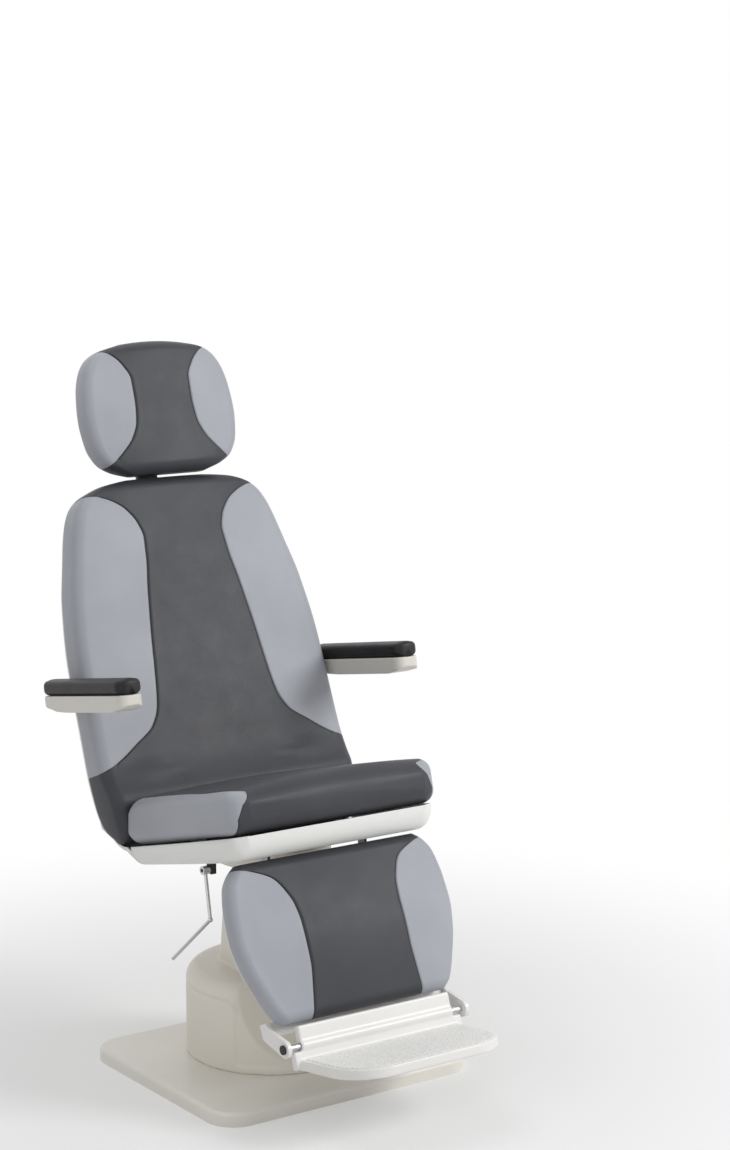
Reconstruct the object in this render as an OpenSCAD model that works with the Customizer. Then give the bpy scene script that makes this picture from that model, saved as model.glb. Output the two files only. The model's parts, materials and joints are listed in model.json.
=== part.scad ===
// Examination chair on a round column base. The patient faces -Y and the floor is z = 0.

/* [Base] */
// Width of the base plate
plate_w = 600; // [520:1:700]
// Depth of the base plate
plate_d = 519; // [470:1:600]
// Thickness of the base plate
plate_t = 28; // [16:1:34]
// Corner radius of the base plate in plan
plate_r = 60; // [30:1:90]
// How far the plate's middle lies in front of the column
plate_shift = 27; // [0:1:40]
// Radius of the drum
drum_r = 178; // [165:1:200]
// Height of the drum's shoulder above the floor
drum_h = 212; // [200:1:240]
// Half-width of the tower at its foot
tower_foot = 106; // [98:1:115]
// Half-width of the tower at its top
tower_top = 92; // [84:1:100]
// Height of the tower's top above the floor
tower_h = 362; // [350:1:372]

/* [Lift] */
// Radius of the moving column
ram_r = 46; // [38:1:52]
// Stroke of the lift
lift_stroke = 150; // [60:1:170]
// Radius of the neck at its foot
neck_foot_r = 62; // [56:1:70]
// Radius of the neck under the seat
neck_head_r = 118; // [100:1:130]

/* [Seat] */
// Rake of the seat, front up
seat_rake = 14.5; // [12:0.5:16]
// Place of the recline hinge behind the column
hinge_y = 112; // [105:1:118]
// Height of the recline hinge
hinge_z = 490; // [485:1:500]
// Half-width of the seat at the hinge
seat_half = 270; // [258:1:276]
// Length of the seat from the hinge to its front roll
seat_l = 352; // [335:1:360]
// Height of the cushion above its tray
seat_t = 92; // [80:1:100]

/* [Back] */
// Lean of the back from upright
back_lean = 21.6; // [18:0.2:26]
// Half-width of the back cushion at its widest
back_half = 297; // [285:1:300]
// Height of the back above the hinge, along the back
back_l = 729; // [680:1:760]
// Thickness of the back cushion at its edge
back_t = 82; // [70:1:90]
// Depth of the back shell behind the cushion
back_shell_d = 33; // [28:1:40]
// Furthest recline
recline_max = 45; // [20:1:45]

/* [Headrest] */
// Half-width of the headrest cushion
head_half = 183; // [160:1:195]
// Height of the headrest
head_l = 276; // [240:1:300]
// Thickness of the headrest cushion at its edge
head_t = 62; // [50:1:75]
// Lean of the headrest from upright
head_lean = 16.7; // [12:0.1:21]

/* [Armrests] */
// Length of an armrest
arm_l = 322; // [280:1:340]
// Width of an armrest
arm_w = 56; // [48:1:64]
// Upward tilt of the armrests at the front
arm_tilt = 10; // [6:1:14]
// Gap between an armrest and the back
arm_gap = 4; // [2:0.5:8]

/* [Leg rest] */
// Half-width of the leg rest at its widest
leg_half = 257; // [240:1:264]
// Length of the leg rest
leg_l = 314; // [300:1:318]
// Lean of the leg rest, feet forward
leg_lean = 25.8; // [22:0.2:30]
// Thickness of the leg cushion at its edge
leg_t = 48; // [40:1:56]

/* [Foot rest] */
// Half-width of the footplate
foot_half = 185; // [170:1:192]
// Depth of the footplate
foot_d = 198; // [180:1:210]
// Thickness of the footplate
foot_t = 20; // [14:1:24]
// Upward tilt of the footplate at the front
foot_tilt = 8.5; // [4:0.5:12]

/* [Lever] */
// Diameter of the lock lever's rod
lever_d = 8; // [6:0.5:10]

/* [Hidden] */
$fn = 48;
overrun = 1;
clear = 0.3;
fit = 0.05;
wall = 4;

// Places along a panel, as [share of its length, share of its half-width]
back_half_shares = [[-0.03, 0.9], [0.037, 0.965], [0.1, 0.99], [0.19, 1], [0.3, 0.995], [0.49, 0.985],
    [0.67, 0.937], [0.777, 0.877], [0.887, 0.805], [0.93, 0.755], [0.958, 0.69], [0.983, 0.56],
    [1, 0.34]];
back_seam_shares = [[0, 1], [0.174, 1], [0.201, 0.867], [0.242, 0.712], [0.284, 0.57],
    [0.338, 0.503], [0.434, 0.467], [0.558, 0.437], [0.675, 0.41], [0.764, 0.39], [0.819, 0.39],
    [0.864, 0.434], [0.908, 0.546], [0.942, 0.712], [1, 0.85]];
head_half_shares = [[0, 0.5], [0.05, 0.72], [0.12, 0.87], [0.25, 0.965], [0.45, 1], [0.65, 0.975],
    [0.78, 0.925], [0.88, 0.84], [0.95, 0.7], [1, 0.42]];
head_seam_shares = [[0, 0.9], [0.09, 0.84], [0.18, 0.66], [0.27, 0.52], [0.39, 0.44], [0.56, 0.415],
    [0.72, 0.42], [0.85, 0.53], [0.95, 0.66], [1, 0.72]];
leg_half_shares = [[0, 0.82], [0.05, 0.89], [0.13, 0.953], [0.3, 0.992], [0.45, 1], [0.62, 0.967],
    [0.78, 0.9], [0.94, 0.81], [1, 0.74]];
leg_seam_shares = [[0, 0.9], [0.06, 0.72], [0.13, 0.584], [0.22, 0.518], [0.3, 0.483],
    [0.43, 0.467], [0.67, 0.467], [0.8, 0.483], [1, 0.515]];
seat_half_shares = [[0, 1], [0.3, 0.99], [0.6, 0.96], [0.8, 0.93], [0.92, 0.9], [0.97, 0.85],
    [1, 0.76]];
seat_seam_shares = [[0, 1], [0.8, 0.985], [0.86, 0.9], [0.9, 0.82], [1, 0.7]];
tray_half_shares = [[0, 1], [0.5, 0.97], [0.85, 0.91], [0.95, 0.87], [1, 0.78]];

// One loop round a padded panel at a station: half-width w, faces at back and front, edge radius r
arc_steps = 4;
seam_w = 4;
bow_share = 0.05;
pull_share = 0.12;
function pad_half(w, back, front, r, crown, seam, groove) = let (
    in_w = w - r,
    s = min(seam, in_w - 2 * seam_w)) concat(
    [[0, back], [in_w * 0.5, back + r * bow_share / 4]],
    [for (i = [0 : arc_steps]) let (a = -90 + 90 * i / arc_steps)
        [in_w + r * cos(a) - r * (1 - sin(a + 90)) * pull_share, back + r * bow_share + r + r * sin(a)]],
    [for (i = [1 : arc_steps]) let (a = 90 * i / arc_steps)
        [in_w + r * cos(a), front - r + r * sin(a)]],
    [for (x = [(in_w + s + seam_w) / 2, s + seam_w, s, s - seam_w, s * 0.6, s * 0.3])
        [x, front + crown * (1 - pow(x / in_w, 2)) - (x == s ? groove : 0)]],
    [[0, front + crown]]);
pad_n = 2 * len(pad_half(4 * seam_w, 0, seam_w, 1, 0, 1, 0)) - 2;
pan_n = 4 * (arc_steps + 4) - 2;
function mirror_loop(half) = concat(half,
    [for (i = [len(half) - 2 : -1 : 1]) [-half[i][0], half[i][1]]]);
// One loop round a shallow pan's wall: rim at rim, floor at floor, both along the panel's normal
function pan_half(w, rim, floor, r) = concat(
    [[0, floor], [(w - r) * 0.5, floor]],
    [for (i = [0 : arc_steps]) let (a = 90 * i / arc_steps)
        [w - r + r * sin(a), floor + sign(rim - floor) * (r - r * cos(a))]],
    [[w, rim]]);
function pan_loop(w, rim, floor, r) = let (
    up = sign(rim - floor),
    deep = abs(rim - floor),
    web = min(wall, deep / 2),
    outer = pan_half(w, rim, floor, min(r, deep * 0.98)),
    inner = pan_half(w - wall, rim, floor + up * web, min(r - wall, (deep - web) * 0.96)),
    n = len(outer)) concat(
    [for (p = outer) p],
    [for (i = [n - 1 : -1 : 0]) inner[i]],
    [for (i = [1 : n - 1]) [-inner[i][0], inner[i][1]]],
    [for (i = [n - 1 : -1 : 1]) [-outer[i][0], outer[i][1]]]);
// Depth of the seam's groove at a station, none at the two ends
function groove_at(i, steps, e) = i == 0 || i == steps ? 0 : groove_d * e;
// How full a rounded end is at a distance from it
function end_share(d, r) = d >= r ? 1 : sqrt(max(0, 1 - pow(1 - d / r, 2)));
// Stations drawn closer together at both ends
end_draw = 0.12;
back_draw = 0.09;
function drawn(a, draw) = a - sin(360 * a) * draw;
// Triangles that close the end of a pad's loop or a pan's loop of n points
function pad_cap(n) = concat([[0, 1, n - 1], [n / 2 - 1, n / 2, n / 2 + 1]],
    [for (k = [1 : n / 2 - 2]) each [[k, k + 1, n - k], [k + 1, n - k - 1, n - k]]]);
function pan_cap(n) = let (h = (n + 2) / 4) [for (i = [0 : h - 2]) let (
    left = i == 0 ? 0 : 4 * h - 2 - i,
    next = 4 * h - 3 - i) each [
        [i, i + 1, 2 * h - 2 - i], [i, 2 * h - 2 - i, 2 * h - 1 - i],
        [next, left, 2 * h - 1 + i], [next, 2 * h - 1 + i, 2 * h + i]]];
// Skin over equal loops, each [x, y, z] point placed already, the loops running up or down the panel
module skin(raw, cap) {
    n = len(raw[0]);
    m = len(raw);
    down = raw[m - 1][0][1] < raw[0][0][1];
    loops = down ? raw : [for (j = [m - 1 : -1 : 0]) raw[j]];
    polyhedron(points = [for (l = loops) each l],
        faces = concat(
            cap,
            [for (f = cap) [(m - 1) * n + f[2], (m - 1) * n + f[1], (m - 1) * n + f[0]]],
            [for (j = [0 : m - 2], i = [0 : n - 1]) each [
                [j * n + i, (j + 1) * n + i, j * n + (i + 1) % n],
                [j * n + (i + 1) % n, (j + 1) * n + i, (j + 1) * n + (i + 1) % n]]]),
        convexity = 10);
}

// Frames of the tilted groups: local Y runs up the panel and local Z out of its front
head_up = back_l + 28.1;
head_out = 13.7;
head_y = hinge_y + head_up * sin(back_lean) - head_out * cos(back_lean);
head_z = hinge_z + head_up * cos(back_lean) + head_out * sin(back_lean);
module on_back() {
    translate([0, hinge_y, hinge_z])
        rotate([90 - back_lean, 0, 0]) children();
}
module on_head() {
    translate([0, head_y, head_z])
        rotate([90 - head_lean, 0, 0]) children();
}
leg_pin_u = -15;
leg_pin_n = -26;
foot_drop = 46;
bracket_u = -leg_l - foot_drop;
bracket_n = -1;
leg_set = 23.8;
leg_fall = 87.1;
leg_y = hinge_y - seat_l * cos(seat_rake) + leg_set;
leg_z = hinge_z + seat_l * sin(seat_rake) - leg_fall;
module on_leg() {
    translate([0, leg_y, leg_z])
        rotate([90 - leg_lean, 0, 0]) children();
}
tray_rise = -26;
module on_seat() {
    translate([0, hinge_y, hinge_z])
        rotate([-seat_rake, 0, 0])
            translate([0, 0, tray_rise]) children();
}

// Slab with round corners in plan and a rounded top edge
module slab(w, d, t, r, e) {
    for (x = [-1, 1], y = [-1, 1])
        translate([x * (w / 2 - r), y * (d / 2 - r), 0]) rotate_extrude() slab_edge(r, t, e);
    translate([-w / 2 + r, 0, 0]) rotate([90, 0, 90]) linear_extrude(w - 2 * r) slab_side(d, t, e);
    translate([0, d / 2 - r, 0]) rotate([90, 0, 0]) linear_extrude(d - 2 * r) slab_side(w, t, e);
}
module slab_edge(r, t, e) {
    square([r, t - e]);
    square([r - e, t]);
    translate([r - e, t - e]) intersection() {
        circle(e);
        square(e);
    }
}
module slab_side(w, t, e) {
    for (side = [0, 1]) mirror([side, 0]) translate([w / 2 - e, t - e]) intersection() {
        circle(e);
        square(e);
    }
    translate([-w / 2, 0]) square([w, t - e]);
    translate([-w / 2 + e, 0]) square([w - 2 * e, t]);
}
module plan(w, d, r) {
    square([w - 2 * r, d], center = true);
    square([w, d - 2 * r], center = true);
    for (x = [-1, 1], y = [-1, 1]) translate([x * (w / 2 - r), y * (d / 2 - r)]) circle(r);
}

// Base
plate_edge = 8;
pad_r = 22;
pad_t = 6;
pad_inset = 60;
module base_plate() {
    color("#d2cdc4") difference() {
        translate([0, -plate_shift, 0]) slab(plate_w, plate_d, plate_t, plate_r, plate_edge);
        pad_places() cylinder(r = pad_r + clear, h = pad_t + clear);
        for (a = [0 : 90 : 270]) rotate(a + 45)
            translate([bolt_ring, 0, -overrun]) cylinder(r = bolt_r + fit, h = plate_t + 2 * overrun);
    }
}
module pad_places() {
    for (x = [-1, 1], y = [-1, 1])
        translate([x * (plate_w / 2 - pad_inset), y * (plate_d / 2 - pad_inset) - plate_shift, 0])
            children();
}
module plate_pads() {
    color("#2b2b2b") pad_places() cylinder(r = pad_r, h = pad_t);
}
cover_wall = 5;
shoulder_r = 34;
ramp_r = 190;
ramp_y = 286;
ramp_z = 196;
tower_rear = 84;
tower_front = 100;
tower_draw = 30;
tower_edge = 16;
module drum_profile(r, h, e) {
    square([r, h - e]);
    square([r - e, h]);
    translate([r - e, h - e]) intersection() {
        circle(e);
        square(e);
    }
}
module drum_body(in) {
    intersection() {
        rotate_extrude($fn = 96) drum_profile(drum_r - in, drum_h - in - plate_t, shoulder_r - in);
        union() {
            translate([-drum_r, -ramp_low, 0])
                cube([2 * drum_r, ramp_low + drum_r, drum_h]);
            translate([-drum_r, -drum_r, 0])
                cube([2 * drum_r, drum_r, ramp_step - in]);
        }
    }
}
ramp_low = 92;
ramp_step = 14;
// The front slope, an arc that comes down from the tower's foot to the plate
module ramp_body(in) {
    intersection() {
        rotate_extrude($fn = 96) drum_profile(drum_r - ramp_inset - in, drum_h - in - plate_t, shoulder_r);
        difference() {
            translate([-drum_r, -drum_r, 0]) cube([2 * drum_r, drum_r, ramp_z - plate_t]);
            translate([-drum_r - overrun, -ramp_y, ramp_z - plate_t])
                rotate([0, 90, 0]) cylinder(r = ramp_r + in, h = 2 * (drum_r + overrun), $fn = 96);
        }
    }
}
ramp_inset = 3;
module tower_side(foot, top, h, e) {
    polygon([[-foot, 0], [foot, 0], [top, h - e], [top - e, h], [-top + e, h], [-top, h - e]]);
}
module tower_body(in) {
    h = tower_h - plate_t - in;
    intersection() {
        translate([0, drum_r, 0]) rotate([90, 0, 0])
            linear_extrude(2 * drum_r) tower_side(tower_foot - in, tower_top - in, h, tower_edge);
        translate([-drum_r, 0, 0]) rotate([90, 0, 90]) linear_extrude(2 * drum_r) polygon([
            [-tower_front + in, 0],
            [tower_rear - in, 0],
            [tower_rear - tower_draw - in + tower_edge, h - tower_edge],
            [tower_rear - tower_draw - in, h],
            [-tower_front + tower_draw + in, h],
            [-tower_front + tower_draw + in - tower_edge, h - tower_edge]]);
        cylinder(r1 = tower_foot + tower_round - in, r2 = tower_top + tower_round / 2 - in, h = h, $fn = 96);
    }
}
tower_round = 14;
module base_cover() {
    color("#cdc8bf") translate([0, 0, plate_t]) difference() {
        union() {
            drum_body(0);
            ramp_body(0);
            tower_body(0);
        }
        translate([0, 0, -overrun]) {
            drum_body(cover_wall + overrun);
            tower_body(cover_wall);
        }
        cylinder(r = neck_foot_r - neck_lap, h = tower_h);
        translate([0, drum_r, inlet_z - plate_t]) cube([inlet_w + fit * 2, 4 * cover_wall, inlet_h + fit * 2],
            center = true);
    }
}
neck_lap = 12;
guide_r = ram_r + 6;
guide_h = tower_h - plate_t - 22;
bolt_ring = 78;
bolt_r = 5;
flange_r = 92;
flange_t = 12;
module lift_guide() {
    color("#8f9398") translate([0, 0, plate_t]) difference() {
        union() {
            cylinder(r = guide_r, h = guide_h);
            cylinder(r = flange_r, h = flange_t);
        }
        translate([0, 0, flange_t]) cylinder(r = ram_r + fit, h = guide_h);
        for (a = [0 : 90 : 270]) rotate(a + 45)
            translate([bolt_ring, 0, -overrun]) cylinder(r = bolt_r + fit, h = flange_t + 2 * overrun);
    }
}
bolt_head_r = 9;
bolt_head_h = 6;
module guide_bolts() {
    color("#9a9a9a") for (a = [0 : 90 : 270]) rotate(a + 45) translate([bolt_ring, 0, 0]) {
        translate([0, 0, pad_t]) cylinder(r = bolt_r, h = plate_t + flange_t - pad_t);
        translate([0, 0, plate_t + flange_t]) cylinder(r = bolt_head_r, h = bolt_head_h, $fn = 6);
    }
}
motor_r = 30;
motor_l = 128;
motor_y = 122;
module lift_motor() {
    color("#3c4046") translate([0, motor_y, plate_t]) {
        cylinder(r = motor_r, h = motor_l);
        translate([0, 0, motor_l]) cylinder(r = motor_r / 2, h = motor_r / 2);
        translate([-motor_r, -motor_r, 0]) cube([2 * motor_r, motor_r, flange_t]);
    }
}
inlet_w = 48;
inlet_h = 30;
inlet_z = 70;
inlet_d = 22;
inlet_lip = 3;
module power_inlet() {
    color("#26282b") translate([0, drum_r - inlet_d + inlet_lip, inlet_z]) difference() {
        rotate([-90, 0, 0]) linear_extrude(inlet_d) plan(inlet_w, inlet_h, inlet_lip);
        translate([0, inlet_d / 2, 0]) rotate([-90, 0, 0])
            linear_extrude(inlet_d) plan(inlet_w - 2 * wall, inlet_h - 2 * wall, inlet_lip);
    }
}

// Lift
ram_top = 396;
ram_lap = 130;
ram_foot = plate_t + guide_h - lift_stroke - ram_lap;
module lift_ram() {
    color("#c9ccd0") translate([0, 0, ram_foot]) difference() {
        cylinder(r = ram_r, h = ram_top - ram_foot);
        translate([0, 0, -overrun]) cylinder(r = ram_r - 2 * wall, h = ram_top - ram_foot - 2 * wall);
        cylinder(r = spigot_r + fit, h = ram_top);
    }
}
spigot_r = 18;
bearing_t = 8;
module swivel_bearing() {
    color("#7d8084") translate([0, 0, ram_top]) difference() {
        cylinder(r = ram_r, h = bearing_t);
        translate([0, 0, -overrun]) cylinder(r = spigot_r + fit, h = bearing_t + 2 * overrun);
    }
}

// Seat
neck_foot_z = tower_h + 2;
neck_bend = 66;
tray_depth = 40;
tray_front = 50;
// The flared neck, its top cut to the rake of the seat's underside
module column_head() {
    color("#cdc8bf") difference() {
        rotate_extrude($fn = 96) difference() {
            translate([0, neck_foot_z]) square([neck_head_r, neck_rise]);
            translate([neck_foot_r + neck_bend, neck_foot_z]) scale_arc();
            translate([0, neck_foot_z - overrun])
                square([ram_r + 2, ram_top + bearing_t + clear - neck_foot_z + overrun]);
        }
        on_seat() translate([-neck_head_r - overrun, -2 * neck_head_r, -neck_seat])
            cube([2 * (neck_head_r + overrun), 4 * neck_head_r, 4 * neck_head_r]);
        translate([0, 0, ram_top]) cylinder(r = hub_r + fit, h = neck_head_r);
    }
}
neck_rise = 100;
neck_seat = tray_depth + (tray_front - tray_depth) * 0.7 + clear;
module scale_arc() {
    circle(neck_bend);
    translate([0, -neck_bend]) square([neck_bend * 2, neck_bend * 2]);
}
hub_r = 30;
rail_w = 25;
rail_h = 22;
rail_x = 125;
rail_base = -34;
rail_rear = 50;
rail_stop = 60;
rail_front = seat_l - rail_stop;
ear_x = 150;
ear_t = 6;
ear_r = 15;
pin_r = 6;
leg_ear_x = 112;
leg_pin_r = 7;
leg_pin_y = leg_y + leg_pin_u * sin(leg_lean) - leg_pin_n * cos(leg_lean);
leg_pin_z = leg_z + leg_pin_u * cos(leg_lean) + leg_pin_n * sin(leg_lean);
leg_boss_r = 11;
leg_arm_l = 48;
leg_arm_h = 16;
leg_post_w = 22;
ear_reach = 84;
ear_drop = 38;
ear_bar = 20;
cross_l = 40;
module seat_frame() {
    color("#8f9398") difference() {
        union() {
            on_seat() {
                for (x = [-1, 1]) {
                    translate([x > 0 ? rail_x : -rail_x - rail_w, -rail_front, rail_base])
                        cube([rail_w, rail_front - rail_rear, rail_h]);
                    translate([x > 0 ? ear_x : -ear_x - ear_t, 0, -tray_rise]) rotate([0, 90, 0])
                        cylinder(r = ear_r, h = ear_t);
                    translate([x > 0 ? ear_x : -ear_x - ear_t, 0, -tray_rise])
                        rotate([atan2(ear_drop, ear_reach), 0, 0])
                            translate([0, -ear_reach, -ear_bar / 2]) cube([ear_t, ear_reach, ear_bar]);
                    translate([x > 0 ? ear_x : -ear_x - ear_t, -ear_reach - ear_bar, rail_base])
                        cube([ear_t, 2 * ear_bar, rail_h + ear_bar / 2]);
                }
                for (y = [rail_rear + cross_l, rail_front])
                    translate([-rail_x, -y, rail_base]) cube([2 * rail_x, cross_l, rail_h]);
                translate([-rail_x, -hub_reach - cross_l, rail_base])
                    cube([2 * rail_x, 2 * cross_l, rail_h]);
            }
            translate([0, 0, ram_top + bearing_t + fit]) cylinder(r = hub_r, h = hub_rise);
            translate([0, 0, ram_top - spigot_l]) cylinder(r = spigot_r, h = spigot_l + bearing_t + hub_rise);
            for (x = [-1, 1]) translate([x > 0 ? leg_ear_x : -leg_ear_x - ear_t, leg_pin_y, 0]) {
                translate([0, 0, leg_pin_z]) rotate([0, 90, 0]) cylinder(r = leg_boss_r, h = ear_t);
                translate([0, 0, leg_pin_z - leg_arm_h / 2]) cube([ear_t, leg_arm_l, leg_arm_h]);
                translate([0, leg_arm_l - leg_post_w, leg_pin_z - leg_arm_h / 2])
                    cube([ear_t, leg_post_w, leg_ear_rise]);
            }
        }
        for (x = [-1, 1]) {
            translate([x > 0 ? ear_x - overrun : -ear_x - ear_t - overrun, hinge_y, hinge_z])
                rotate([0, 90, 0]) cylinder(r = pin_r + fit, h = ear_t + 2 * overrun);
            translate([x > 0 ? leg_ear_x - overrun : -leg_ear_x - ear_t - overrun, leg_pin_y, leg_pin_z])
                rotate([0, 90, 0]) cylinder(r = leg_pin_r + fit, h = ear_t + 2 * overrun);
        }
    }
}
spigot_l = 6;
hub_rise = 70;
hub_reach = hinge_y * cos(seat_rake);
leg_ear_rise = 48;
tray_r = 34;
tray_rear = 2;
function tray_w(u) = seat_half * lookup(u, tray_half_shares);
function tray_floor(u) = -(tray_depth + (tray_front - tray_depth) * u)
    * end_share((1 - u) * seat_l, tray_front);
module seat_shell() {
    color("#e6e4df") difference() {
        on_seat() skin([for (i = [0 : tray_steps]) let (
            u = sin(90 * i / tray_steps),
            y = -tray_rear - u * (seat_l - tray_rear))
            [for (p = pan_loop(tray_w(u), 0, min(-wall / 4, tray_floor(u)), tray_r))
                [p[0], y, p[1]]]], pan_cap(pan_n));
        translate([0, 0, ram_top]) cylinder(r = hub_r + 1, h = neck_head_r);
        for (x = [-1, 1])
            translate([x > 0 ? leg_ear_x - clear : -leg_ear_x - ear_t - clear,
                leg_pin_y + leg_arm_l - leg_post_w - clear, leg_pin_z])
                cube([ear_t + 2 * clear, leg_post_w + 2 * clear, leg_ear_rise]);
    }
}
tray_steps = 14;
seat_steps = 22;
seat_edge = 26;
seat_crown = 10;
seat_nose = 14;
end_lap = 3;
front_r = 44;
crease_r = 20;
groove_d = 3;
function seat_w(u) = seat_half * lookup(u, seat_half_shares);
module seat_cushion() {
    color("#505154") difference() {
        on_seat() skin([for (i = [0 : seat_steps]) let (
            a = i / seat_steps,
            u = drawn(a, end_draw),
            y = -clear * 2 - u * (seat_l + seat_nose),
            e = min(end_share((1 - u) * seat_l + end_lap, front_r),
                end_share(u * seat_l + crease_r / 3, crease_r)),
            seam = seat_w(u) * lookup(u, seat_seam_shares) - seat_edge,
            mid = seat_t * 0.5,
            lift = clear)
            [for (p = mirror_loop(pad_half(seat_w(u), mid - (mid - lift) * e, mid + (seat_t - mid) * e,
                seat_edge * e, seat_crown * e, seam, groove_at(i, seat_steps, 1))))
                [p[0], y - max(0, p[1] + tray_rise) * tan(seat_rake) * pow(1 - u, 4), p[1]]]],
            pad_cap(pad_n));
        hinge_slots();
    }
}
slot_in = 140;
slot_out = 172;
slot_reach = 96;
module hinge_slots() {
    for (x = [-1, 1]) translate([x > 0 ? slot_in : -slot_out, hinge_y, hinge_z]) rotate([-seat_rake, 0, 0])
        translate([0, -slot_reach, -slot_reach])
            cube([slot_out - slot_in, slot_reach + overrun, slot_reach + ear_r + wall]);
}
back_motor_r = 11;
back_motor_l = 150;
motor_gap = 14;
module back_motor() {
    color("#3c4046") on_seat()
        translate([rail_x + rail_w + back_motor_r + motor_gap, -rail_front + cross_l,
            rail_base + back_motor_r]) rotate([-90, 0, 0]) {
                cylinder(r = back_motor_r, h = back_motor_l);
                translate([-back_motor_r - motor_gap, -back_motor_r / 2, back_motor_l / 3])
                    cube([back_motor_r + motor_gap, back_motor_r, back_motor_r]);
            }
}
pin_l = 17;
module hinge_pins() {
    color("#b0b3b6") for (x = [-1, 1])
        translate([x > 0 ? ear_x - 2 : -ear_x + 2 - pin_l, hinge_y, hinge_z])
            rotate([0, 90, 0]) cylinder(r = pin_r, h = pin_l);
}

// Back
back_front = -7;
back_low = -14;
lumbar_y = 71;
lumbar_z = 24;
lumbar_end = 170;
corner_y = 41;
corner_r = 60;
back_steps = 30;
back_edge = 26;
back_crown = 9;
back_round = 30;
back_foot_r = 12;
function back_w(y) = back_half * lookup(y / back_l, back_half_shares);
function back_face(y) = y < 0 ? y * tan(90 - back_lean - 2) * 0.9
    : y < lumbar_y ? y * (lumbar_z + back_front) / lumbar_y
    : back_front + lumbar_z * pow(max(0, 1 - (y - lumbar_y) / (lumbar_end - lumbar_y)), 2);
function back_rear(y) = y > corner_y ? back_front - back_t
    : back_front - back_t + corner_r - sqrt(max(0, corner_r * corner_r - pow(y - corner_y, 2)));
module back_cushion() {
    color("#505154") on_back() difference() {
        skin([for (i = [0 : back_steps]) let (
            a = i / back_steps,
            y = back_low + (back_l - back_low) * drawn(a, back_draw),
            e = min(end_share(back_l - y + end_lap, back_round),
                end_share(y - back_low + end_lap, back_foot_r)),
            zf = back_face(y) - clear,
            zb = back_rear(y) + clear,
            mid = (zf + zb) / 2)
            [for (p = mirror_loop(pad_half(back_w(y), mid + (zb - mid) * e, mid + (zf - mid) * e,
                min(back_edge, (zf - zb) * 0.4) * e, back_crown * e * min(1, max(0.2, y / lumbar_y)),
                back_w(y) * lookup(y / back_l, back_seam_shares) - seam_w, groove_at(i, back_steps, e))))
                [p[0], y, p[1]]]], pad_cap(pad_n));
        for (side = [0, 1]) mirror([side, 0, 0]) {
            translate([slot_in, -slot_reach, back_front - back_t - overrun])
                cube([slot_out - slot_in, slot_reach + back_slot, back_t - back_front + ear_r]);
            translate([slot_in, -slot_reach, back_front - back_t - overrun])
                cube([slot_out - slot_in, slot_reach + 2 * back_slot, back_t / 2 + ear_r]);
        }
    }
}
back_slot = 30;
back_ear_x = ear_x + ear_t + 2;
back_rail_z = -112;
back_rail_d = 20;
back_rail_low = 56;
rail_short = 119;
back_rail_top = back_l - rail_short;
bar_l = 118;
bar_turn = 29;
strap_t = 6;
strap_lap = 0.8;
module back_frame() {
    color("#8f9398") on_back() difference() {
        union() {
            for (side = [0, 1]) mirror([side, 0, 0]) {
                translate([back_ear_x, 0, 0]) rotate([0, 90, 0]) cylinder(r = ear_r, h = ear_t);
                translate([back_ear_x, 0, 0]) rotate([bar_turn, 0, 0])
                    translate([clear, -ear_bar / 2, -bar_l]) cube([ear_t - 2 * clear, ear_bar, bar_l]);
                translate([back_ear_x, back_rail_low, back_rail_z])
                    cube([rail_w, back_rail_top - back_rail_low, back_rail_d]);
            }
            for (y = [back_rail_low, arm_pin_y - cross_l / 2])
                translate([-back_ear_x - overrun, y, back_rail_z])
                    cube([2 * (back_ear_x + overrun), cross_l, back_rail_d / 2]);
            translate([-back_ear_x - rail_w, back_rail_top - cross_l, back_rail_z - strap_t])
                cube([2 * (back_ear_x + rail_w), 2 * cross_l, strap_t + strap_lap]);
        }
        translate([-2 * ear_x, 0, 0]) rotate([0, 90, 0]) cylinder(r = pin_r + fit, h = 4 * ear_x);
    }
}
shell_inset = 15;
shell_r = 32;
shell_steps = 26;
lip_steps = 9;
lip_r = 58;
lip_half = seat_half - 8;
lip_lap = 33;
lip_turn = recline_max + lip_lap;
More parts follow.
